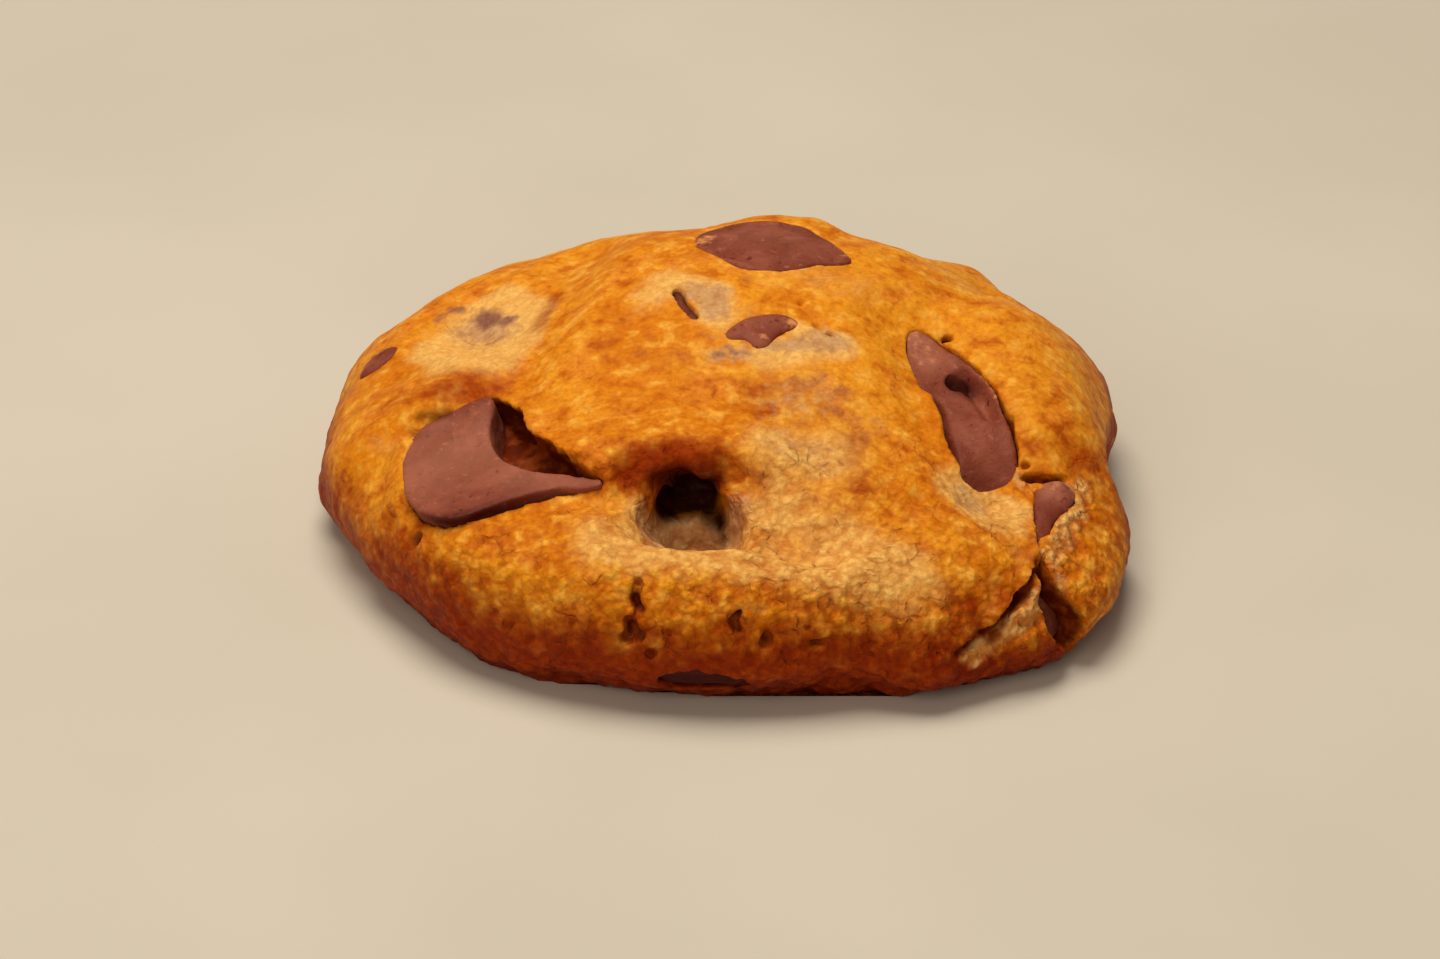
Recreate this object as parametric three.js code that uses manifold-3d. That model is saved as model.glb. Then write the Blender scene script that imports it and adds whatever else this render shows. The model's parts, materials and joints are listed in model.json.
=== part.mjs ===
// A thick chocolate chunk cookie, in millimetres, +Z up, standing on z = 0.
// The front of the cookie faces -Y, and +X is to the right.
// One lump of dough slumps as it bakes: it starts as a flattened ball, trimmed flat where it rests,
// and each swelling, hollow and fold is one push on its skin. Melted lumps of chocolate lie in
// sockets in the dough, and the cavity, the cracks and the pits are cut out of it.

import * as THREE from "three";
import { mergeVertices } from "three/addons/utils/BufferGeometryUtils.js";
import Module from "manifold-3d";

const wasm = await Module();
wasm.setup();

// Driving dimensions of the dough
const WIDTH = 75.6; // across, left to right
const DEPTH = 71; // front to back
const HEIGHT = 19; // of the slumped ball, before its swellings
const RIM_HEIGHT = 5.5; // of the widest part above the tray
const UNDERCUT = 1.15; // how much steeper the side is below the rim than above it
const UNEVEN = 0.25; // height of the small lumps of the crust
const UNEVEN_PITCH = 6; // from one small lump to the next
const SKIN_DETAIL = 22; // subdivisions of the ball

// Driving dimensions of the lumps of chocolate
const OUTLINE_POINTS = 16;
const ROUNDING = 1.2; // height of a lump's rounded edge
const EDGE_SHARE = 0.25; // of a lump's radius, taken up by its rounded edge
const EDGE_STEPS = 2;
const GAP = 0.3; // between a lump and the dough round it
const CLEARANCE = 2.5; // how far a socket is open above its lump

// Finishes
const CRUST = { color: 0xcf8638, roughness: 0.75, metalness: 0 };
const CHOCOLATE = { color: 0x8c4c39, roughness: 0.4, metalness: 0 };

const SAME_POINT = 1e-4;
const UP = new THREE.Vector3(0, 0, 1);

// Every push: the row of points on the skin that it takes hold of, how far round them it reaches,
// and how far it moves them.
const PUSHES = [
  { name: "crown", row: [[-2, 9, 18], [9, 10, 18]], reach: 30, move: [0, 1, 3.6] },
  { name: "back rim", row: [[2, 19, 19], [8, 19, 19]], reach: 7, move: [0, 0, 0.8] },
  { name: "right corner swell", row: [[31, -20, 4]], reach: 13, move: [2.2, -3, 0] },
  { name: "right corner foot", row: [[19, -30, 3], [27, -27, 3]], reach: 11, move: [0, -4, 0] },
  { name: "right flank", row: [[37, -1, 7]], reach: 13, move: [-1.6, 0, 0] },
  { name: "left flank", row: [[-36, -6, 5], [-31, -19, 3]], reach: 14, move: [1, 0.8, 0] },
  { name: "left back flank", row: [[-28, 17, 12]], reach: 14, move: [-0.5, 1, 1] },
  { name: "right lobe", row: [[29, -8, 12], [27, 4, 14]], reach: 10, move: [0.5, 0, 2] },
  { name: "right valley", row: [[17, 0, 20], [20, -9, 17], [23, -17, 13]], reach: 7, move: [-0.5, 0, -1.5] },
  { name: "front trough", row: [[-14, -21, 14], [0, -24, 14], [8, -27, 13]], reach: 6, move: [0, 0, -2] },
  { name: "hole", row: [[-4, -24, 12], [-2, -24, 12]], reach: 6, move: [0, 2, -6.5] },
  { name: "brow", row: [[-11, -18, 16], [-5, -18, 17], [1, -19, 16]], reach: 7, move: [0, -2.5, 1] },
  { name: "front roll, left", row: [[-25, -23, 8], [-15, -30, 10]], reach: 8, move: [0, -0.3, 1.5] },
  { name: "front roll", row: [[-9, -31, 10], [0, -32, 10], [7, -32, 10]], reach: 8, move: [0, -0.3, 1.5] },
  { name: "front roll, right", row: [[14, -31, 10.5], [22, -27, 10]], reach: 8, move: [0, -0.3, 1.5] },
  { name: "left bowl", row: [[-22, 6, 16]], reach: 9, move: [0, 0, -2] },
  { name: "left valley", row: [[-13, 15, 19], [-18, -1, 18], [-20, -7, 17]], reach: 6, move: [0, 0, -1.5] },
  { name: "left ridge", row: [[-34, -7, 9], [-30, -5, 13], [-24, -6, 16]], reach: 6, move: [-0.5, 0.5, 1] },
];

// Every melted lump of chocolate: roughly where it lies, its turn on the skin in degrees, its size,
// how much narrower it is at its +X end, and how far it stands out of the skin. Lumps are laid on
// from above, or from the direction given as away.
const CHUNKS = [
  { name: "chunk_left", at: [-19.6, -17.8, 14], turn: -24,
    length: 18.5, width: 11.5, thick: 6, taper: 0.5, proud: 1 },
  { name: "chunk_top", at: [5, 12, 21], turn: -16,
    length: 15, width: 10.5, thick: 5, taper: 0.1, proud: 0.2 },
  { name: "chunk_right", at: [21.4, -8.8, 16], turn: -60,
    length: 19, width: 7, thick: 5, taper: -0.25, proud: 0 },
  { name: "chunk_side", at: [29.3, -19.3, 11], turn: 10,
    length: 4.6, width: 5, thick: 5, taper: 0, proud: 0.2 },
  { name: "chunk_middle", at: [4.2, -3.7, 21], turn: 20,
    length: 7.8, width: 6, thick: 4, taper: 0.2, proud: 0 },
  { name: "chunk_small", at: [-2.3, 0.8, 21], turn: -50,
    length: 5, width: 3.5, thick: 3, taper: 0.2, proud: 0 },
  { name: "chunk_left_back", at: [-22.2, 7.8, 16], turn: 0,
    length: 7, width: 7, thick: 4, taper: 0, proud: 0 },
  { name: "chunk_left_rim", at: [-31.7, 6, 11], turn: 50,
    length: 5, width: 4, thick: 3, taper: 0, proud: 0.4 },
  { name: "chunk_front", at: [-1.5, -34, 2.8], away: [0, -1, 0], turn: 0,
    length: 9, width: 3, thick: 4, taper: 0.1, proud: 0.3 },
  { name: "chunk_crack", at: [29.5, -27.5, 5.4], away: [0.5, -0.9, 0.3], turn: 75,
    length: 5, width: 2.6, thick: 3.5, taper: 0, proud: -0.6 },
  { name: "chunk_back", at: [12, 28, 13], turn: 165,
    length: 12, width: 7, thick: 5, taper: 0.3, proud: 0.2 },
];

// Every opening with nothing in it, given the same way, and the lump that it cuts into, if any.
const OPENINGS = [
  { name: "cavity", cuts: "chunk_left", at: [-14.6, -15, 15], turn: -46,
    length: 15, width: 5.5, thick: 8, taper: 0.5, proud: 2 },
  { name: "upper crack", at: [27.2, -21.5, 10], turn: -86,
    length: 9, width: 1.4, thick: 6, taper: 0, proud: 1.5 },
  { name: "lower crack", at: [23.1, -30, 5.5], away: [0.2, -1, 0.5], turn: -132,
    length: 14, width: 1.6, thick: 5, taper: 0, proud: 1.5 },
  { name: "notch", at: [33.5, -12.5, 10], turn: 10,
    length: 9, width: 1.4, thick: 4, taper: 0, proud: 1.5 },
  { name: "front split", at: [-7, -34, 9], away: [0, -1, 0.5], turn: 85,
    length: 6, width: 0.9, thick: 2.6, taper: 0, proud: 0.6 },
  { name: "front pit", at: [2.5, -34, 8], away: [0, -1, 0.5], turn: 60,
    length: 3, width: 1, thick: 2.6, taper: 0, proud: 0.6 },
  { name: "crust tear", at: [10.2, -2.8, 21], turn: -30,
    length: 7, width: 0.8, thick: 2, taper: 0, proud: 0.4 },
  { name: "chunk pit", cuts: "chunk_right", at: [20.5, -6.5, 17], turn: -50,
    length: 2.4, width: 1.8, thick: 3, taper: 0, proud: 0.6 },
];

// A falloff from 1 at the row of points to 0 at the reach, level at both ends.
function smoothFalloff(distance, reach) {
  const t = Math.max(0, 1 - distance / reach);
  return t * t * (3 - 2 * t);
}

const segment = new THREE.Line3();
const nearest = new THREE.Vector3();

function distanceToRow(point, row) {
  if (row.length === 1) return point.distanceTo(row[0]);
  let least = Infinity;
  for (let i = 1; i < row.length; i++) {
    segment.set(row[i - 1], row[i]).closestPointToPoint(point, true, nearest);
    least = Math.min(least, point.distanceTo(nearest));
  }
  return least;
}

// The row's points are first taken to the nearest points of the skin, so a push moves it fully.
function push(points, { row, reach, move }) {
  const held = row.map((at) => {
    const wanted = new THREE.Vector3(...at);
    const gap = (point) => point.distanceToSquared(wanted);
    return points.reduce((best, point) => (gap(point) < gap(best) ? point : best)).clone();
  });
  const way = new THREE.Vector3(...move);
  for (const point of points) {
    point.addScaledVector(way, smoothFalloff(distanceToRow(point, held), reach));
  }
}

// Small lumps all over the crust, between -1 and 1, with nothing in line.
function unevenness({ x, y, z }) {
  const rate = (2 * Math.PI) / UNEVEN_PITCH;
  const across = Math.sin(rate * x + 2 * Math.sin(0.7 * rate * y));
  const along = Math.sin(rate * y + 2 * Math.sin(0.6 * rate * x + rate * z));
  return across * along;
}

function bareMesh(geometry) {
  geometry.deleteAttribute("normal");
  geometry.deleteAttribute("uv");
  return mergeVertices(geometry, SAME_POINT);
}

function pointsOf(attribute) {
  const points = [];
  for (let i = 0; i < attribute.count; i++) {
    points.push(new THREE.Vector3().fromBufferAttribute(attribute, i));
  }
  return points;
}

function doughSkin() {
  const ball = bareMesh(new THREE.IcosahedronGeometry(1, SKIN_DETAIL));
  const points = pointsOf(ball.attributes.position);
  for (const point of points) {
    if (point.z < 0) point.z *= UNDERCUT;
    point.multiply(new THREE.Vector3(WIDTH / 2, DEPTH / 2, HEIGHT - RIM_HEIGHT));
    point.z += RIM_HEIGHT;
  }
  for (const one of PUSHES) push(points, one);
  ball.setFromPoints(points);
  ball.computeVertexNormals();
  const normals = pointsOf(ball.attributes.normal);
  points.forEach((point, i) => point.addScaledVector(normals[i], UNEVEN * unevenness(point)));
  return ball.setFromPoints(points);
}

function toSolid(geometry) {
  return new wasm.Manifold(
    new wasm.Mesh({
      numProp: 3,
      vertProperties: new Float32Array(geometry.attributes.position.array),
      triVerts: new Uint32Array(geometry.index.array),
    }),
  );
}

function toGeometry(solid) {
  const mesh = solid.getMesh();
  const geometry = new THREE.BufferGeometry();
  geometry.setAttribute("position", new THREE.BufferAttribute(mesh.vertProperties, 3));
  geometry.setIndex(new THREE.BufferAttribute(mesh.triVerts, 1));
  return geometry;
}

// Everything below the tray
function underTray() {
  const block = bareMesh(new THREE.BoxGeometry(2 * WIDTH, 2 * DEPTH, HEIGHT));
  return toSolid(block.translate(0, 0, -HEIGHT / 2));
}

// A lump is a disc with rounded edges, drawn out to an egg-shaped outline. Its upper face is at z = 0.
function lumpGeometry({ length, width, taper, thick }, grow) {
  const profile = [new THREE.Vector2(0, -thick - grow)];
  for (const [middle, side] of [[ROUNDING - thick, -1], [-ROUNDING, 1]]) {
    for (let i = 0; i <= EDGE_STEPS; i++) {
      const turned = side < 0 ? i : EDGE_STEPS - i;
      const angle = (Math.PI / 2) * (turned / EDGE_STEPS);
      const radius = 1 - EDGE_SHARE + EDGE_SHARE * Math.sin(angle);
      profile.push(new THREE.Vector2(radius, middle + side * (ROUNDING + grow) * Math.cos(angle)));
    }
  }
  profile.push(new THREE.Vector2(0, grow));
  const disc = new THREE.LatheGeometry(profile, OUTLINE_POINTS).rotateX(Math.PI / 2);
  const lump = bareMesh(disc);
  const points = pointsOf(lump.attributes.position);
  for (const point of points) {
    const narrowing = 1 - taper * point.x;
    point.x *= length / 2 + grow;
    point.y *= (width / 2 + grow) * narrowing;
  }
  return lump.setFromPoints(points);
}

// The turned place of a lump on the skin
function placeOn(skin, { at, away = [0, 0, 1], turn, proud }) {
  const outward = new THREE.Vector3(...away).normalize();
  const start = new THREE.Vector3(...at).addScaledVector(outward, WIDTH);
  const [hit] = new THREE.Raycaster(start, outward.negate()).intersectObject(skin);
  const place = new THREE.Object3D();
  place.position.copy(hit.point).addScaledVector(hit.face.normal, proud);
  place.quaternion.setFromUnitVectors(UP, hit.face.normal);
  place.rotateZ(THREE.MathUtils.degToRad(turn));
  place.updateMatrix();
  return place.matrix;
}

function lumpOn(skin, lump, grow = 0, rise = 0) {
  const raised = { ...lump, thick: lump.thick + rise, proud: lump.proud + rise };
  return toSolid(lumpGeometry(raised, grow).applyMatrix4(placeOn(skin, raised)));
}

function addPart(group, name, solid, finish) {
  const part = new THREE.Mesh(toGeometry(solid), new THREE.MeshStandardMaterial(finish));
  part.name = name;
  group.add(part);
}

const cookie = new THREE.Group();
const trimmed = toSolid(doughSkin()).subtract(underTray());
const { min, max } = trimmed.boundingBox();
let dough = trimmed.translate([-(min[0] + max[0]) / 2, -(min[1] + max[1]) / 2, 0]);
const skin = new THREE.Mesh(toGeometry(dough));

const openings = OPENINGS.map((opening) => ({ ...opening, solid: lumpOn(skin, opening) }));
for (const { solid } of openings) dough = dough.subtract(solid);

for (const chunk of CHUNKS) {
  dough = dough.subtract(lumpOn(skin, chunk, GAP, CLEARANCE));
  let lump = lumpOn(skin, chunk);
  for (const { cuts, solid } of openings) {
    if (cuts === chunk.name) lump = lump.subtract(solid);
  }
  addPart(cookie, chunk.name, lump, CHOCOLATE);
}
addPart(cookie, "dough", dough, CRUST);

export default cookie;
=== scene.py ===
# %% [markdown]
# # A thick chocolate chunk cookie
#
# One lump of dough that slumped and cracked as it baked, with melted chunks of chocolate lying in it.
# The lesson shapes the dough the way a hand would: a ball is flattened, pushed up and down in soft
# presses, trimmed where it rested on the tray, opened where the chunks and cracks are, and then given
# its crust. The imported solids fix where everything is; this script gives them their looks.

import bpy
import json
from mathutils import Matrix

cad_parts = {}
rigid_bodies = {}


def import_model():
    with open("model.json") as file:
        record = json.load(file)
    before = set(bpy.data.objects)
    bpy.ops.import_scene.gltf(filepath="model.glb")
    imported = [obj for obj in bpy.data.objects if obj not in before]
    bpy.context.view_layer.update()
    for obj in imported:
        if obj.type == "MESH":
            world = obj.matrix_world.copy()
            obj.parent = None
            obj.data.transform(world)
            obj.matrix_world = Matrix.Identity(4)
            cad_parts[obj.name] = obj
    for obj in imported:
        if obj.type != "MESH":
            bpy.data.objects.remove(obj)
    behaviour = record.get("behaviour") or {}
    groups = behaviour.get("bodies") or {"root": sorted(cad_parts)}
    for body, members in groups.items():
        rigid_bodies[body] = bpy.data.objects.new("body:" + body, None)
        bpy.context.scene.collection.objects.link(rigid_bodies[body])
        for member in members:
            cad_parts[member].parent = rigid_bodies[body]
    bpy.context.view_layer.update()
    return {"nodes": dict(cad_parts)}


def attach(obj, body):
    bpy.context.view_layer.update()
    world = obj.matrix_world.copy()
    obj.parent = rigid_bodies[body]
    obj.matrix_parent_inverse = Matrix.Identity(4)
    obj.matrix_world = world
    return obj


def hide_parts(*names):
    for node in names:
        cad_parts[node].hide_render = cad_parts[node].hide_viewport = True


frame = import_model()

import json
import math

import bmesh
import bpy
import numpy as np
from mathutils import Vector, kdtree
from mathutils.bvhtree import BVHTree

MM = 0.001  # Blender works in metres, and this lesson in millimetres
UP = Vector((0, 0, 1))
print("solids:", sorted(frame["nodes"]))

# %% [markdown]
# ## Camera
#
# A picture of food from a low side shows height, and one from above shows the outline. This one looks
# down by 30 degrees from the front, through a long lens, so the far side is hardly smaller than the near
# side. The aim point and the distance are fixed numbers, so that the picture can be compared again.

# %% Place the camera
LOOK_DOWN = math.radians(30)
CAMERA_AWAY = 420 * MM
AIM = Vector((-0.16, 5.44, 0)) * MM

lens = bpy.data.cameras.new("camera")
lens.sensor_width = 36  # in mm, as the focal length below it
lens.lens = 112.8
lens.clip_start = 0.01
camera = bpy.data.objects.new("camera", lens)
bpy.context.collection.objects.link(camera)
camera.location = AIM + CAMERA_AWAY * Vector((0, -math.cos(LOOK_DOWN), math.sin(LOOK_DOWN)))
camera.rotation_euler = (math.pi / 2 - LOOK_DOWN, 0, 0)
bpy.context.scene.camera = camera
print("camera at, mm:", [round(c / MM, 1) for c in camera.location])

# %% [markdown]
# ## Small helpers
#
# Every operator works on what is selected, so a piece is always picked up alone first. Editing happens
# between `start_editing` and `stop_editing`, and a modifier is added and applied in one go.

# %% Helpers that pick up, edit and finish a piece
def pick_up(piece):
    """Selects this piece alone, and makes it the active one."""
    for other in bpy.context.view_layer.objects:
        other.select_set(False)
    piece.select_set(True)
    bpy.context.view_layer.objects.active = piece


def just_added(name):
    """The piece that was just added, under its name."""
    piece = bpy.context.object
    piece.name = name
    return piece


def start_editing(piece):
    pick_up(piece)
    bpy.ops.object.mode_set(mode="EDIT")
    return bmesh.from_edit_mesh(piece.data)


def stop_editing():
    bpy.ops.object.mode_set(mode="OBJECT")


def hold_all():
    bpy.ops.mesh.select_all(action="SELECT")


def set_in_place(piece, at, out):
    """Turns a piece so that its top faces a way, moves it to a place, and makes both its own shape."""
    piece.rotation_mode = "QUATERNION"
    piece.rotation_quaternion = UP.rotation_difference(out)
    piece.location = at
    pick_up(piece)
    bpy.ops.object.transform_apply(location=True, rotation=True, scale=True)


def add_and_apply(piece, kind, **settings):
    """Adds a modifier with these settings, and applies it."""
    pick_up(piece)
    modifier = piece.modifiers.new(kind.lower(), kind)
    for name, value in settings.items():
        setattr(modifier, name, value)
    bpy.ops.object.modifier_apply(modifier=modifier.name)


def shift(piece, way):
    """Moves a whole piece by a way in mm."""
    start_editing(piece)
    hold_all()
    bpy.ops.transform.translate(value=[step * MM for step in way])
    stop_editing()


def corners_of(piece):
    """The points of a piece as rows of x, y and z, in mm."""
    flat = np.empty(len(piece.data.vertices) * 3)
    piece.data.vertices.foreach_get("co", flat)
    return flat.reshape(-1, 3) / MM


def say(piece):
    """Prints how large a piece is and how many faces it has."""
    corners = corners_of(piece)
    size = np.round(corners.max(axis=0) - corners.min(axis=0), 1)
    print(piece.name, "is", size, "mm, with", len(piece.data.polygons), "faces")

# %% [markdown]
# ## The slumped ball of dough
#
# A cookie like this is a scoop of dough that melts down. It could be turned from a profile, but then it
# would be round, and this one isn't: it has a crown, a rolled front edge, a lobe on the right and a
# corner that cracked away. So it starts as a ball with evenly spread faces, which no pole spoils, drawn
# out to the width, depth and height of the slump. Below its widest part the side is a little steeper.

# %% Flatten a ball
WIDTH, DEPTH, HEIGHT = 75.6, 71, 19
RIM_HEIGHT = 5.5  # of the widest part above the tray
UNDERCUT = 1.15  # how much steeper the side is below the rim than above it

bpy.ops.mesh.primitive_ico_sphere_add(subdivisions=7, radius=1, location=(0, 0, 0))
dough = just_added("baked_dough")

ball = start_editing(dough)
hold_all()
bpy.ops.transform.resize(value=(WIDTH / 2 * MM, DEPTH / 2 * MM, (HEIGHT - RIM_HEIGHT) * MM))
bpy.ops.mesh.select_all(action="DESELECT")
for corner in ball.verts:
    corner.select = corner.co.z < 0
ball.select_flush(True)
bpy.ops.transform.resize(value=(1, 1, UNDERCUT), center_override=(0, 0, 0))
hold_all()
bpy.ops.transform.translate(value=(0, 0, RIM_HEIGHT * MM))
stop_editing()
say(dough)

# %% [markdown]
# ## Pressing the dough into shape
#
# Dough rises and sinks in soft swellings, so every form is one press: it takes hold of a row of points
# on the skin, and moves them with everything round them, fading out smoothly over its reach. That is
# proportional editing, and by hand it is the G key with O switched on. Sculpt brushes could do the same,
# but a press has numbers that can be read and changed. Where two rows cross, the later press moves what
# the earlier one made.

# %% The press
ROW_STEP = 0.25  # between the points that are held along a row, in mm


def take_hold(mesh, row):
    """Selects the skin's points along a row, which is first laid on the skin, and says how many."""
    tree = kdtree.KDTree(len(mesh.verts))
    for corner in mesh.verts:
        tree.insert(corner.co, corner.index)
    tree.balance()
    mesh.verts.ensure_lookup_table()
    ends = [tree.find(Vector(point) * MM)[0].copy() for point in row]
    bpy.ops.mesh.select_all(action="DESELECT")
    held = set()
    for start, end in zip(ends, ends[1:] or ends):
        steps = max(1, round((end - start).length / (ROW_STEP * MM)))
        for step in range(steps + 1):
            held.add(tree.find(start.lerp(end, step / steps))[1])
    for index in held:
        mesh.verts[index].select = True
    mesh.select_flush(True)
    return len(held)


def press(piece, presses, along_skin=False):
    """Makes every press in turn: its name, its row of points, its reach and its move, in mm."""
    mesh = start_editing(piece)
    for name, row, reach, move in presses:
        held = take_hold(mesh, row)
        bpy.ops.transform.translate(
            value=Vector(move) * MM,
            use_proportional_edit=True,
            use_proportional_connected=along_skin,
            proportional_edit_falloff="SMOOTH",
            proportional_size=reach * MM,
        )
    stop_editing()
    print(len(presses), "presses, the last one", name, "on", held, "points")

# %% [markdown]
# ## The large forms
#
# First the crown and the outline, then the front: a trough runs along it, with a deep hole under a
# brow, and the roll stands in front of them. On the left are a ridge, a bowl and a valley, and on the
# right a lobe that the valley with the long chunk parts from the crown.

# %% Press the large forms
press(dough, [
    ("crown", [(-2, 9, 18), (9, 10, 18)], 30, (0, 1, 3.6)),
    ("back rim", [(2, 19, 19), (8, 19, 19)], 7, (0, 0, 0.8)),
    ("right corner swell", [(31, -20, 4)], 13, (2.2, -3, 0)),
    ("right corner foot", [(19, -30, 3), (27, -27, 3)], 11, (0, -4, 0)),
    ("right flank", [(37, -1, 7)], 13, (-1.6, 0, 0)),
    ("left flank", [(-36, -6, 5), (-31, -19, 3)], 14, (1, 0.8, 0)),
    ("left back flank", [(-28, 17, 12)], 14, (-0.5, 1, 1)),
    ("right lobe", [(29, -8, 12), (27, 4, 14)], 10, (0.5, 0, 2)),
    ("right valley", [(17, 0, 20), (20, -9, 17), (23, -17, 13)], 7, (-0.5, 0, -1.5)),
    ("front trough", [(-14, -21, 14), (0, -24, 14), (8, -27, 13)], 6, (0, 0, -2)),
    ("hole", [(-4, -24, 12), (-2, -24, 12)], 6, (0, 2, -6.5)),
    ("brow", [(-11, -18, 16), (-5, -18, 17), (1, -19, 16)], 7, (0, -2.5, 1)),
    ("front roll, left", [(-25, -23, 8), (-15, -30, 10)], 8, (0, -0.3, 1.5)),
    ("front roll", [(-9, -31, 10), (0, -32, 10), (7, -32, 10)], 8, (0, -0.3, 1.5)),
    ("front roll, right", [(14, -31, 10.5), (22, -27, 10)], 8, (0, -0.3, 1.5)),
    ("left bowl", [(-22, 6, 16)], 9, (0, 0, -2)),
    ("left valley", [(-13, 15, 19), (-18, -1, 18), (-20, -7, 17)], 6, (0, 0, -1.5)),
    ("left ridge", [(-34, -7, 9), (-30, -5, 13), (-24, -6, 16)], 6, (-0.5, 0.5, 1)),
])

# %% [markdown]
# The tray made the underside flat. A bisect cuts everything below it away and fills the cut with one
# face, which is what a knife through the ball would leave. Then the dough is moved to the middle.

# %% Trim the dough on the tray and centre it
SAME_POINT = 1e-7  # in metres: points of a cut that are nearer than this are one


def trim_underside(piece, height=0.0):
    """Cuts away what lies below a height in mm, and closes the cut."""
    start_editing(piece)
    hold_all()
    bpy.ops.mesh.bisect(
        plane_co=(0, 0, height * MM), plane_no=UP, clear_inner=True, use_fill=True, threshold=SAME_POINT)
    stop_editing()


trim_underside(dough)
low, high = corners_of(dough).min(axis=0), corners_of(dough).max(axis=0)
shift(dough, (-(low[0] + high[0]) / 2, -(low[1] + high[1]) / 2, -low[2]))
say(dough)

# %% [markdown]
# ## The forms between the large ones
#
# Smaller presses follow, now on the centred dough: the back wall of the hole is drawn in under the
# brow, the roll gets a crest that leans back over the trough, and the bowl, the folds and the shoulders
# get their own edges.

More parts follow.
